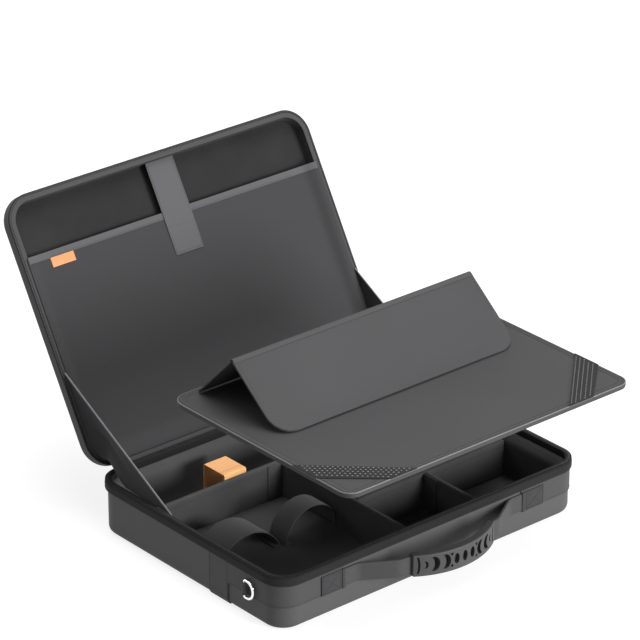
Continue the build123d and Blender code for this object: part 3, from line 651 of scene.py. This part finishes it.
def bow(start, crown, end):
    """Points of the arc through three (x, z) points."""
    ax, az = start
    bx, bz = crown
    cx, cz = end
    turn = 2 * (ax * (bz - cz) + bx * (cz - az) + cx * (az - bz))
    sa, sb, sc = ax * ax + az * az, bx * bx + bz * bz, cx * cx + cz * cz
    mid_x = (sa * (bz - cz) + sb * (cz - az) + sc * (az - bz)) / turn
    mid_z = (sa * (cx - bx) + sb * (ax - cx) + sc * (bx - ax)) / turn
    radius = math.hypot(ax - mid_x, az - mid_z)
    first = math.degrees(math.atan2(az - mid_z, ax - mid_x))
    last = math.degrees(math.atan2(cz - mid_z, cx - mid_x))
    if first < last:
        first += 360
    return arc((mid_x, mid_z), radius, first, last, BOW_STEPS)


def make_device_loops():
    """Two plain webbing loops that hold a charger and a cable."""
    loops = (
        ("charger_loop", (-175, 5), (-131, 33), (-91, 5), (-12, 28)),
        ("cable_loop", (-88, 5), (-52, 40), (-21, 22), (-18, 9)),
    )
    for node, start, crown, end, span in loops:
        middle_y = sum(span) / 2
        path = [(x, middle_y, max(z, 5.7)) for x, z in bow(start, crown, end)]
        path.insert(0, (start[0] + 8, middle_y, 5.7))
        if node == "charger_loop":
            path.append((end[0] - 8, middle_y, 5.7))
        else:
            path.append((-20.7, middle_y, 10))
        publish(
            ribbon(path, (0, 1, 0), span[1] - span[0], 1.2),
            f"woven_{node}", WEBBING, node, "tray",
        )


# ---- webbing and D-rings

def make_webbing():
    """Bands sewn round the front corners and down the sides."""
    for side, word in SIDES:
        reach = TRAY_W / 2 + 0.6
        corners = (
            (side * reach, -66.2, 38.5),
            (side * reach, -TRAY_D / 2 - 0.6, 38.5),
            (side * 121.0, -TRAY_D / 2 - 0.6, 38.5),
        )
        path = even_path(rounded_path(corners, TRAY_R + 0.6, 14), 4.0)
        band = ribbon(path, (0, 0, 1), 25.0, 1.2)
        name = f"webbing_band_{word}"
        publish(band, f"corner_{name}", WEBBING, name, "tray")
        seam = bmesh.new()
        row = [Vector((x, y, 27.4)) for x, y, _ in path]
        row = [point + TRAY.outward(point) * 0.6 for point in row]
        add_stitches(seam, row, TRAY.outward, length=2.4)
        path = [(side * reach, -51.25, z) for z in (50.6, 8.0)]
        for x, z in arc((TRAY_W / 2 - 8.0, 8.0), 8.6, 0, -56, 8):
            path.append((side * x, -51.25, z))
        band = ribbon(even_path(path, 3.0), (0, 1, 0), 29.9, 1.2)
        name = f"side_band_{word}"
        publish(band, f"wrapped_{name}", WEBBING, name, "tray")
        # Stitch rows right at the side band's edges: real seams, whose dark thread also paints the
        # shade line along the band's edges
        for y in (-65.2, -37.2):
            row = ((side * (reach + 0.6), y, 50.0), (side * (reach + 0.6), y, 8.0))
            add_stitches(seam, row, (side, 0, 0), length=2.4)
        publish(seam, f"webbing_seams_{word}", THREAD, body="tray")


def make_handle_anchors():
    """Square sewn patch with crossed stitching, and the fold that the strap comes out of."""
    face = -TRAY_D / 2 - 1.2
    for side, word in SIDES:
        near, far = sorted((side * 125.3, side * 152.0))
        patch = soft_box((near, face - 1.5, 26.0), (far, face + 0.1, 48.0), 0.5, cuts=2)
        near, far = sorted((side * 121.0, side * 125.6))
        merge_into(patch, soft_box((near, face - 2.4, 25.8), (far, face + 0.1, 48.2), 0.9))
        name = f"handle_anchor_{word}"
        publish(patch, f"sewn_{name}", WEBBING_FLAT, name, "tray")
        x = (side * 127.0, side * 150.4)
        z = (27.6, 46.4)
        y = face - 1.5
        square = [(x[0], y, z[0]), (x[1], y, z[0]), (x[1], y, z[1]), (x[0], y, z[1]), (x[0], y, z[0])]
        rising = ((x[0], y, z[0]), (x[1], y, z[1]))
        falling = ((x[0], y, z[1]), (x[1], y, z[0]))
        sew(
            f"handle_anchor_seam_{word}", "webbing", "tray", (square, rising, falling), (0, -1, 0),
            pitch=2.2, length=2.0, width=0.7,
        )


def make_ring_sleeves():
    """Webbing folded round each D-ring's bar and sewn to the band."""
    for side, word in SIDES:
        path = [(205.6, -99.55), (207.2, -99.5)]
        path += arc((208.5, -96.8), 2.6, -105, 105, 16)
        path += [(207.2, -94.1), (205.6, -94.05)]
        path = [(side * x, y, 34.4) for x, y in path]
        band = ribbon(path, (0, 0, 1), 13.2, 0.9)
        name = f"d_ring_loop_{word}"
        publish(band, f"folded_{name}", WEBBING, name, "tray")


# ---- handle

STRAP_CORNERS = ((120.7, -148.2), (104.0, -148.2), (68.0, -170.5), (54.0, -172.8))


def make_handle_straps():
    """Webbing straps that bend from the anchors to the ends of the grip."""
    for side, word in SIDES:
        corners = [(side * x, y, 37.25) for x, y in STRAP_CORNERS]
        path = even_path(rounded_path(corners, 18.0, 8), 2.5)
        band = ribbon(path, (0, 0, 1), 19.5, 2.2)
        name = f"handle_strap_{word}"
        piece = publish(band, f"woven_{name}", WEBBING, name)
        rows = [[(x, y - 0.95, z) for x, y, _ in path] for z in (29.4, 45.1)]
        threads = sew(
            f"handle_strap_seam_{word}", "webbing", None, rows, (0, -1, 0.01), length=2.4,
        )
        for part in (piece, threads):
            start, end = (side * 0.1195, -0.1482, 0.0373), (side * 0.080, -0.1482, 0.0373)
            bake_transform(part)
            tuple(start)
            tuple(end)


# ---- lid

LID = Outline(LID_W, LID_L, LID_R, LID_R, centre=LID_MID)


def make_lid_lining():
    """Padded lining of the lid: a rolled frame and a flat back."""
    section = [
        (-12.0, 15.6), (-6.0, 14.2), (-2.8, 10.0), (-2.6, 4.0), (-2.9, 2.7), (-4.0, 2.3),
        (-6.2, 2.5), (-7.6, 3.4), (-8.4, 5.2), (-8.5, 9.0), (-8.7, 12.4), (-9.6, 14.0),
        (-11.2, 14.5),
    ]
    piece = publish_on_lid(
        sweep_profile(LID, section, filled=True),
        "padded_lid_lining", LID_LINING, "lid_lining",
    )


def make_lid_rim():
    """Binding, zipper tape and coil teeth along the lid's edge."""
    section = [(-2.2, 2.35), (-2.2, 1.5), (-2.7, 1.05), (-7.3, 1.05), (-7.8, 1.5), (-7.8, 2.35)]
    publish_on_lid(
        sweep_profile(LID, section), "lid_edge_binding", EDGE_CLOTH, "lid_binding",
    )
    section = [(-2.1, 2.4), (-2.1, 1.45), (0.2, 1.4), (0.6, 1.7), (0.6, 2.2), (0.2, 2.4)]
    publish_on_lid(
        sweep_profile(LID, section), "lid_edge_tape", ZIP_CLOTH, "lid_zipper_tape",
    )
    teeth = make_teeth(LID, -0.9, 1.1)
    publish_on_lid(teeth, "lid_edge_teeth", ZIP_COIL, "lid_zipper_coil")


# The pocket's cloth lies POCKET_DEPTH behind the lid's rim and rolls forward to SEAM_DEPTH at its seams
POCKET_HALF = 197.5
POCKET_LOW, POCKET_MOUTH = 5.6, 232.4
POCKET_R = 24.0
POCKET_SEAM, POCKET_SLOPE = 3.4, 15.0
POCKET_DEPTH = 8.1
SEAM_DEPTH = 0.9
MOUTH_S, MOUTH_HALF, MOUTH_STEPS = 230.2, 196.6, 100
MOUTH_SEAM_S, MOUTH_SEAM_END = 227.9, 8


def pocket_depth(x, s):
    """Depth of the pocket's cloth: slack in the middle, rolled forward to the lid's edge."""
    beside = POCKET_HALF - abs(x)
    below = s - POCKET_LOW
    inside = min(beside, below)
    if beside < POCKET_R and below < POCKET_R:
        inside = POCKET_R - math.hypot(POCKET_R - beside, POCKET_R - below)
    share = max(0.0, min(1.0, (inside - POCKET_SEAM) / POCKET_SLOPE))
    roll = math.sin(share * math.pi / 2) ** 1.4
    slack = max(0.0, min(1.0, (inside - 6.0) / 24.0))
    slack *= 0.4 + 0.6 * min(1.0, (POCKET_MOUTH - s) / 30.0)
    drape = noise.noise(Vector((x, s, 0)) * 0.012) * 0.5
    drape += noise.noise(Vector((x, s * 2.2, 40)) * 0.02) * 0.25
    fullness = math.cos(math.pi * x / (2 * POCKET_HALF)) * 0.6
    return SEAM_DEPTH + (POCKET_DEPTH - SEAM_DEPTH) * roll - slack * (fullness + drape)


def make_pocket():
    """Lid pocket: a cloth panel sewn round three sides of the lid's edge, with a bound mouth."""
    panel = bmesh.new()
    bmesh.ops.create_grid(panel, x_segments=110, y_segments=64, size=0.5)
    centre_s = POCKET_LOW + POCKET_R
    core_x = POCKET_HALF - POCKET_R
    for corner in panel.verts:
        corner.co.x *= 2 * POCKET_HALF
        corner.co.y = POCKET_LOW + (corner.co.y + 0.5) * (POCKET_MOUTH - POCKET_LOW)
        below = centre_s - corner.co.y
        beside = abs(corner.co.x) - core_x
        if below > 0 and beside > 0:
            scale = max(below, beside) / math.hypot(below, beside)
            corner.co.y = centre_s - below * scale
            corner.co.x = math.copysign(core_x + beside * scale, corner.co.x)
    for corner in panel.verts:
        corner.co.z = pocket_depth(corner.co.x, corner.co.y)
    thicken(panel, 1.0)
    piece = publish_on_lid(panel, "cloth_pocket_panel", POCKET, "pocket_panel")
    path = []
    for k in range(MOUTH_STEPS + 1):
        x = MOUTH_HALF * (2 * k / MOUTH_STEPS - 1)
        path.append((x, MOUTH_S, pocket_depth(x, MOUTH_S) + 0.1))
    publish_on_lid(
        ribbon(path, (0, 1, 0), 7.4, 3.0), "pocket_mouth_binding", STRAP, "pocket_binding",
    )
    seam = bmesh.new()
    row = [(x, MOUTH_SEAM_S, z - 1.5) for x, _, z in path[MOUTH_SEAM_END:-MOUTH_SEAM_END]]
    add_stitches(seam, row, (0, 0, -1), pitch=3.2)
    publish_on_lid(seam, "pocket_mouth_seam", THREAD)


def make_closure_strap():
    """Wide strap from the lid's far wall, closed on the pocket with a sewn pad."""
    path = [(4.0, s, 6.2 + 0.25 * math.sin(s * 0.05)) for s in range(186, 290, 4)]
    path.append((4.0, 289.3, 6.2))
    publish_on_lid(
        ribbon(path, (1, 0, 0), 37.0, 1.2), "cloth_closure_strap", STRAP, "closure_strap",
    )
    pad = soft_box((-10.5, 190.0, 6.7), (18.5, 215.0, 7.4), 0.25)
    publish_on_lid(pad, "closure_strap_pad", ZIP_CLOTH)
    seam = bmesh.new()
    for x in (-12.9, 20.9):
        add_stitches(seam, ((x, 188.0, 5.6), (x, 288.0, 5.6)), (0, 0, -1), pitch=3.2)
    for s in (188.2, 216.5):
        add_stitches(seam, ((-12.9, s, 5.6), (20.9, s, 5.6)), (0, 0, -1), pitch=3.2)
    publish_on_lid(seam, "closure_strap_seam", THREAD)


def make_label():
    """Bare orange tab sewn under the pocket's mouth."""
    tab = soft_box((-165.9, 216.0, 6.3), (-136.0, 226.5, 7.2), 0.35)
    publish_on_lid(tab, "orange_tab", LABEL, "label_tab")


# ---- hinge and gussets

def make_hinge():
    """Cloth strip that joins the tray's rear rim to the lid's edge."""
    corners = ((0, 150.2, 50.5), (0, 150.4, 60.0), (0, 150.9, 63.2), (0, 151.6, 66.0))
    path = even_path(rounded_path(corners, 3.0, 5), 1.2)
    strip = ribbon(path, (1, 0, 0), 352.0, 0.8)
    piece = publish(strip, "cloth_hinge", EDGE_CLOTH, "hinge_tape")
    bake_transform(piece)


# The right gusset's seams end at LID_TIP_S on the lid and at TRAY_TIP_Y on the tray.
GUSSET_IN = 3.7
LID_TIP_S, LID_DEPTH = 108.5, 0.5
LID_TURN, LID_STEPS = -86, 16
TRAY_TIP_Y, TRAY_TIP_Z = 31.0, 61.2
GUSSET_CORNER = (
    (199.3, 92.0, 61.7), (198.0, 108.0, 61.6), (194.4, 121.0, 61.5), (188.0, 132.0, 61.4),
    (180.0, 141.0, 61.6), (172.0, 148.0, 62.3),
)
GUSSET_CREASE = 7.2
CORNER_CREASE = 9.0
FOLD_SHARE = 0.38
GUSSET_COLUMNS, GUSSET_ROWS = 60, 28
HEM_ACROSS = (0, -0.476, 0.879)


def even_points(path, count):
    """The same curve with `count` evenly spaced points."""
    lengths = [0.0]
    for before, after in zip(path, path[1:]):
        lengths.append(lengths[-1] + (after - before).length)
    points = []
    span = 0
    for k in range(count):
        target = lengths[-1] * k / (count - 1)
        while span < len(path) - 2 and lengths[span + 1] < target:
            span += 1
        share = (target - lengths[span]) / (lengths[span + 1] - lengths[span])
        points.append(path[span].lerp(path[span + 1], share))
    return points


def gusset_lid_edge():
    """Right gusset's seam on the lid, from its free tip round the lid's corner to the hinge."""
    half = LID_W / 2 - GUSSET_IN
    radius = LID_R - GUSSET_IN
    points = [(half, LID_TIP_S)]
    points += arc((half - radius, LID_START + LID_R), radius, 0, LID_TURN, LID_STEPS)
    seam = []
    for x, s in points:
        y = HINGE.y - s * math.cos(LID_ANGLE) + LID_DEPTH * math.sin(LID_ANGLE)
        z = HINGE.z + s * math.sin(LID_ANGLE) + LID_DEPTH * math.cos(LID_ANGLE)
        seam.append(Vector((x, y, z)))
    return seam


def gusset_tray_edge():
    """Right gusset's lower edge: sewn to the rim, then cut across the corner to the hinge."""
    half = LID_W / 2 - GUSSET_IN
    return [Vector((half, TRAY_TIP_Y, TRAY_TIP_Z)), *(Vector(point) for point in GUSSET_CORNER)]


def gusset_point(on_lid, on_tray, reach, share):
    """Point of the right gusset: `reach` from the hinge, `share` of the way down to the tray."""
    point = on_lid.lerp(on_tray, share)
    fold = min(share / FOLD_SHARE, (1.0 - share) / (1.0 - FOLD_SHARE))
    depth = GUSSET_CREASE * min(1.0, (1.0 - reach) * 3.0)
    depth += CORNER_CREASE * max(0.0, 1.0 - reach / 0.2)
    point.x -= depth * fold * min(1.0, 0.1 + reach * 8.0)
    return point


def make_gussets():
    """Cloth gussets that hold the lid, each with a soft crease and a bound free edge."""
    on_lid = even_points(gusset_lid_edge(), GUSSET_COLUMNS + 1)
    on_tray = even_points(gusset_tray_edge(), GUSSET_COLUMNS + 1)
    for side, word in SIDES:
        cloth = bmesh.new()
        bmesh.ops.create_grid(cloth, x_segments=GUSSET_COLUMNS, y_segments=GUSSET_ROWS, size=0.5)
        for corner in cloth.verts:
            k = round((corner.co.x + 0.5) * GUSSET_COLUMNS)
            share = round((corner.co.y + 0.5) * GUSSET_ROWS) / GUSSET_ROWS
            corner.co = gusset_point(on_lid[k], on_tray[k], 1.0 - k / GUSSET_COLUMNS, share)
            corner.co.x *= side
        thicken(cloth, 0.6)
        bmesh.ops.recalc_face_normals(cloth, faces=cloth.faces)
        rim = []
        for j in range(GUSSET_ROWS + 1):
            point = gusset_point(on_lid[0], on_tray[0], 1.0, j / GUSSET_ROWS)
            rim.append(Vector((side * point.x, point.y, point.z)))
        name = f"gusset_{word}"
        piece = publish(cloth, f"cloth_{name}", GUSSET, name)
        hem = ribbon(rim, HEM_ACROSS, 1.9, 1.1)
        edge = publish(hem, f"gusset_hem_{word}", PALE_THREAD)
        for part in (piece, edge):
            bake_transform(part)


# ---- laptop board

BOARD_EDGE = Outline(BOARD_W, BOARD_D, 15.0, 18.0, centre=BOARD_Y, cuts=16)


def make_board():
    """Padded top panel, and round it the cloth binding with its piping and sewn groove."""
    section = [
        (-9.0, 186.1), (-8.0, 186.35), (-7.7, 186.6), (-8.2, 186.95), (-9.4, 187.1), (-13.0, 187.12),
    ]
    piece = publish(
        sweep_profile(BOARD_EDGE, section, filled=True),
        "board_padded_panel", BOARD, "board_top_panel", "board",
    )
    section = [
        (-8.0, 181.7), (-1.0, 181.6), (-0.3, 182.0), (0.0, 182.9), (0.0, 186.1), (-0.3, 186.8),
        (-0.9, 187.1), (-2.9, 187.15), (-3.15, 186.75), (-3.5, 186.75), (-3.75, 187.15),
        (-7.3, 187.15), (-7.9, 186.9), (-8.0, 186.2), (-8.0, 182.4),
    ]
    publish(
        sweep_profile(BOARD_EDGE, section),
        "board_edge_binding", BOARD_CLOTH, "board_binding", "board",
    )
    section = [
        (-1.0, 187.1), (-0.9, 187.4), (-0.3, 187.35), (0.05, 186.9), (-0.1, 186.5), (-0.6, 186.7),
    ]
    publish(
        sweep_profile(BOARD_EDGE, section), "board_edge_piping", PIPING, body="board",
    )
    seam = bmesh.new()
    for z, way in ((187.1, 1), (181.6, -1)):
        add_stitches(seam, outline_path(BOARD_EDGE, -6.6, z), (0, 0, way), pitch=3.6, length=2.6)
    publish(seam, "board_edge_seam", THREAD, body="board")


DASH_ROWS = (1.9, 6.0, 10.4, 15.0, 19.8)
DASH_PITCH = 4.95
DASH_SIZE = (1.15, 0.65, 0.22, 1)
DASH_IN = 2.4
ELASTIC = ((190.5, -149.8), (190.5, -184.8), (136.0, -233.4), (102.0, -233.4))


def make_corner_elastics():
    """Elastic bands across the board's front corners, with rows of small rubber dashes."""
    first = Vector(ELASTIC[0])
    way = (Vector(ELASTIC[-1]) - first).normalized()
    out = Vector((-way.y, way.x))
    for side, word in SIDES:
        band = bmesh.new()
        band.faces.new([band.verts.new((side * x, y, 187.2)) for x, y in ELASTIC])
        bmesh.ops.subdivide_edges(band, edges=list(band.edges), cuts=14, use_grid_fill=True)
        keep_in_board(band)
        bmesh.ops.recalc_face_normals(band, faces=band.faces)
        if sum(face.normal.z for face in band.faces) > 0:
            bmesh.ops.reverse_faces(band, faces=band.faces)
        bmesh.ops.solidify(band, geom=list(band.faces), thickness=0.9)
        name = f"corner_elastic_{word}"
        publish(band, f"woven_{name}", DOTTED, name, "board")
        dashes = bmesh.new()
        angle = math.atan2(way.y, side * way.x)
        for row, offset in enumerate(DASH_ROWS):
            for k in range(-2, 30):
                spot = first + out * offset + way * (DASH_PITCH * (k + 0.5 * (row % 2)))
                if spot.x > BOARD_W / 2 - DASH_IN or spot.y < BOARD_Y - BOARD_D / 2 + DASH_IN:
                    continue
                place = Matrix.Translation((side * spot.x, spot.y, 188.1))
                place = place @ Matrix.Rotation(angle, 4, "Z") @ Matrix.Diagonal(DASH_SIZE)
                bmesh.ops.create_icosphere(dashes, subdivisions=1, radius=1.0, matrix=place)
        publish(dashes, f"elastic_dashes_{word}", DOT, body="board")


def keep_in_board(bm):
    """Pull a flat piece's points back inside the board's rounded outline."""
    radius = BOARD_EDGE.front_r
    core_x = BOARD_EDGE.half_w - radius
    core_y = BOARD_EDGE.centre - BOARD_EDGE.half_d + radius
    for corner in bm.verts:
        over = Vector((abs(corner.co.x) - core_x, core_y - corner.co.y))
        if over.x > 0 and over.y > 0 and over.length > radius:
            over *= radius / over.length
            corner.co.x = math.copysign(core_x + over.x, corner.co.x)
            corner.co.y = core_y - over.y


# ---- stand

# The flap drops straight from the ridge at FLAP_SLOPE, then curls up by FLAP_BEND over FLAP_CURL
RIDGE = Vector((0, -21.5, 243.5))
LEG_FOOT = Vector((0, 32.0, 188.65))
STAND_W, PLATE = 322.0, 2.5
FLAP_SLOPE, FLAP_STRAIGHT = math.radians(38.8), 68.0
FLAP_CURL, FLAP_BEND, BEND_STEPS = 27.0, math.radians(24.0), 8
FLAP_R = 25.0


def make_stand():
    """Folding stand: a cloth-covered leg and flap, joined by cloth hinges."""
    leg_way = (RIDGE - LEG_FOOT).normalized()
    path = even_path((LEG_FOOT, RIDGE - leg_way * 1.7), 6.0)
    leg = ribbon(path, (1, 0, 0), STAND_W, PLATE)
    ease_edges(leg)
    publish(leg, "covered_stand_leg", BOARD, "stand_leg", "stand_leg")
    down = Vector((0, -math.cos(FLAP_SLOPE), -math.sin(FLAP_SLOPE)))
    path = even_path((RIDGE + down * 1.7, RIDGE + down * FLAP_STRAIGHT), 6.0)
    radius = FLAP_CURL / FLAP_BEND
    out = Vector((0, -math.sin(FLAP_SLOPE), math.cos(FLAP_SLOPE)))
    last = path[-1]
    centre = last + out * radius
    for k in range(1, BEND_STEPS + 1):
        angle = FLAP_BEND * k / BEND_STEPS
        path.append(centre + (last - centre) * math.cos(angle) + down * radius * math.sin(angle))
    flap = ribbon(path, (1, 0, 0), STAND_W, PLATE)
    round_flap(flap)
    ease_edges(flap)
    publish(flap, "covered_stand_flap", BOARD, "stand_flap", "stand_flap")
    ridge = [RIDGE - leg_way * 5.5, RIDGE - leg_way * 1.5, RIDGE + down * 1.5, RIDGE + down * 5.5]
    ridge = [point + Vector((0, 0, 1.75)) for point in ridge]
    piece = publish(
        ribbon(ridge, (1, 0, 0), 321.0, 0.7), "stand_ridge_cloth", BOARD_CLOTH,
    )
    ease = Vector((0, 2.0, 0))
    start, end = tuple((RIDGE + ease) * MM), tuple((RIDGE - ease) * MM)
    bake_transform(piece)
    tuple(start)
    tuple(end)
    line = [point + out * PLATE / 2 for point in path[1:9]]
    rows = [[(x, point.y, point.z) for point in line] for x in (-157.5, 157.5)]
    sew("stand_flap_seam", "board_cover", "stand_flap", rows, out, pitch=3.8, length=2.6)


def ease_edges(bm):
    """Round a plate's sharp outline edges."""
    bm.normal_update()
    sharp = [edge for edge in bm.edges if edge.is_manifold and edge.calc_face_angle(0) > 1.0]
    bmesh.ops.bevel(
        bm, geom=sharp, offset=0.7, segments=2, profile=0.5, affect="EDGES", material=-1,
    )


def round_flap(bm):
    """Pull the flap's two lower corners in to a round."""
    tip = min(corner.co.y for corner in bm.verts)
    core_x = STAND_W / 2 - FLAP_R
    for corner in bm.verts:
        beside = abs(corner.co.x) - core_x
        below = tip + FLAP_R - corner.co.y
        if beside > 0 and below > 0:
            limit = math.sqrt(max(0.0, FLAP_R ** 2 - below ** 2))
            corner.co.x = math.copysign(core_x + beside * limit / FLAP_R, corner.co.x)


# ---- zipper slider and pull

def make_slider():
    """Zipper slider with its lugs and pin, and the pull that hangs from it."""
    body = soft_box((207.3, 94.0, 54.0), (208.8, 106.0, 62.0), 0.6, segments=2)
    for way in (-1, 1):
        near, far = sorted((100 + way * 2.9, 100 + way * 4.1))
        merge_into(body, soft_box((208.5, near, 56.4), (212.6, far, 59.6), 0.35, segments=2))
    pin = bmesh.new()
    place = Matrix.Translation((211.2, 100.0, 58.0)) @ Matrix.Rotation(math.radians(90), 4, "X")
    bmesh.ops.create_cone(
        pin, cap_ends=True, segments=16, radius1=0.8, radius2=0.8, depth=8.0, matrix=place,
    )
    merge_into(body, pin)
    publish(body, "zip_slider", SLIDER, "zipper_slider", "slider")
    pull = bmesh.new()
    outline = [(97.0, 34.0), (103.0, 34.0), (104.0, 35.4), (104.0, 52.4), (102.3, 55.6)]
    outline += [(101.6, 59.6), (98.4, 59.6), (97.7, 55.6), (96.0, 52.4), (96.0, 35.4)]
    corners = [pull.verts.new((210.3, y, z)) for y, z in outline]
    plate = pull.faces.new(corners)
    made = bmesh.ops.extrude_face_region(pull, geom=[plate])["geom"]
    fresh = [part for part in made if isinstance(part, bmesh.types.BMVert)]
    bmesh.ops.translate(pull, vec=(1.8, 0, 0), verts=fresh)
    bmesh.ops.recalc_face_normals(pull, faces=pull.faces)
    bmesh.ops.bevel(
        pull, geom=list(pull.edges), offset=0.4, segments=2, profile=0.5, affect="EDGES", material=-1,
    )
    publish(pull, "zip_pull", SLIDER, "zipper_pull", "pull")


# ---- solid nodes that stay

def finish_solids():
    """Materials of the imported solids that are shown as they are."""
    # The lid shell's colour carries painted shade
    kept = (
        ("base_shell", COVER), ("lid_shell", LID_COVER_PAINTED_SHADE), ("board_core", BOARD), ("handle_grip", GRIP),
        ("d_ring_left", STEEL), ("d_ring_right", STEEL),
    )
    for node, material in kept:
        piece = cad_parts[node]
        piece.data.materials.clear()
        piece.data.materials.append(material)
        for polygon in piece.data.polygons:
            polygon.use_smooth = True
        piece.data.set_sharp_from_angle(angle=math.radians(30))


# ---- studio

FLOOR_ALBEDO, FLOOR_GLOW = 0.36, 0.80
FLOOR_HALF, FLOOR_DROP = 6.0, 0.0004
SURROUND = 0.29
LAMPS = (  # name, place, width, power
    ("front", (0.85, -2.9, 0.8), 1.5, 112.0),
    ("top", (0.2, -0.05, 2.7), 2.2, 52.0),
    ("rear", (-1.3, 1.6, 1.2), 0.9, 4.0),
)
LAMP_AIM = Vector((0, 0, 0.12))
CAMERA_PLACE = (-2.3193, -2.6803, 1.9253)
CAMERA_TURN = (math.radians(64.445), 0, math.radians(-40.541))


def split_view(nodes, links, output, lighting, shown):
    """One shader lights the case; another is what rays see straight or through a shine."""
    path = nodes.new("ShaderNodeLightPath")
    seen = path.outputs["Is Camera Ray"]
    for name in ("Is Glossy Ray", "Is Transmission Ray"):
        seen = maths(nodes, links, "MAXIMUM", seen, path.outputs[name])
    pick = nodes.new("ShaderNodeMixShader")
    links.new(seen, pick.inputs["Fac"])
    links.new(lighting, pick.inputs[1])
    links.new(shown, pick.inputs[2])
    links.new(pick.outputs["Shader"], output.inputs["Surface"])


def make_floor():
    """Grey floor that takes the case's shadow and glows white where it is seen."""
    mesh = bpy.data.meshes.new("floor")
    bm = bmesh.new()
    bmesh.ops.create_grid(bm, x_segments=1, y_segments=1, size=FLOOR_HALF)
    bmesh.ops.translate(bm, vec=(0, 0, -FLOOR_DROP), verts=bm.verts)
    bm.to_mesh(mesh)
    bm.free()
    add_object("floor", mesh)
    paint = Finish("floor_paint", (FLOOR_ALBEDO,) * 3, Roughness=0.9, Specular_IOR_Level=0.1)
    mesh.materials.append(paint.material)
    nodes, links = paint.nodes, paint.links
    plain = paint.shader.outputs["BSDF"]
    glow = add_node(nodes, "ShaderNodeEmission", Strength=FLOOR_GLOW)
    lit = nodes.new("ShaderNodeAddShader")
    links.new(plain, lit.inputs[0])
    links.new(glow.outputs["Emission"], lit.inputs[1])
    split_view(nodes, links, nodes["Material Output"], plain, lit.outputs["Shader"])


def make_surround():
    """Dim white surround that is seen as full white."""
    world = bpy.data.worlds.new("surround")
    bpy.context.scene.world = world
    world.use_nodes = True
    nodes, links = world.node_tree.nodes, world.node_tree.links
    nodes.clear()
    output = nodes.new("ShaderNodeOutputWorld")
    white = (1, 1, 1, 1)
    dim = add_node(nodes, "ShaderNodeBackground", Color=white, Strength=SURROUND)
    full = add_node(nodes, "ShaderNodeBackground", Color=white, Strength=1.0)
    split_view(nodes, links, output, dim.outputs["Background"], full.outputs["Background"])


def make_lamps():
    """Soft round lamps aimed at the case."""
    for name, place, width, power in LAMPS:
        light = bpy.data.lights.new(name, "AREA")
        light.shape = "DISK"
        light.size = width
        light.energy = power
        lamp = add_object(name, light)
        lamp.location = place
        aim = LAMP_AIM - Vector(place)
        lamp.rotation_euler = aim.to_track_quat("-Z", "Y").to_euler()


def make_camera():
    """Long lens from the front left, looking down on the open case."""
    data = bpy.data.cameras.new("camera")
    data.lens = 216.0
    data.sensor_width = 36.0
    data.clip_end = 20.0
    camera = add_object("camera", data)
    camera.location = CAMERA_PLACE
    camera.rotation_euler = CAMERA_TURN
    bpy.context.scene.camera = camera


for make in (
    make_camera, make_base_binding, make_base_zipper, make_base_lining, make_dividers,
    make_power_bank_loop, make_device_loops, make_webbing, make_handle_anchors, make_ring_sleeves,
    make_handle_straps, make_lid_lining, make_lid_rim, make_pocket, make_closure_strap, make_label,
    make_hinge, make_gussets, make_board, make_corner_elastics, make_stand, make_slider,
    finish_solids, make_floor, make_surround, make_lamps,
):
    make()

bpy.context.scene.view_settings.view_transform = "Standard"
bpy.context.view_layer.update()
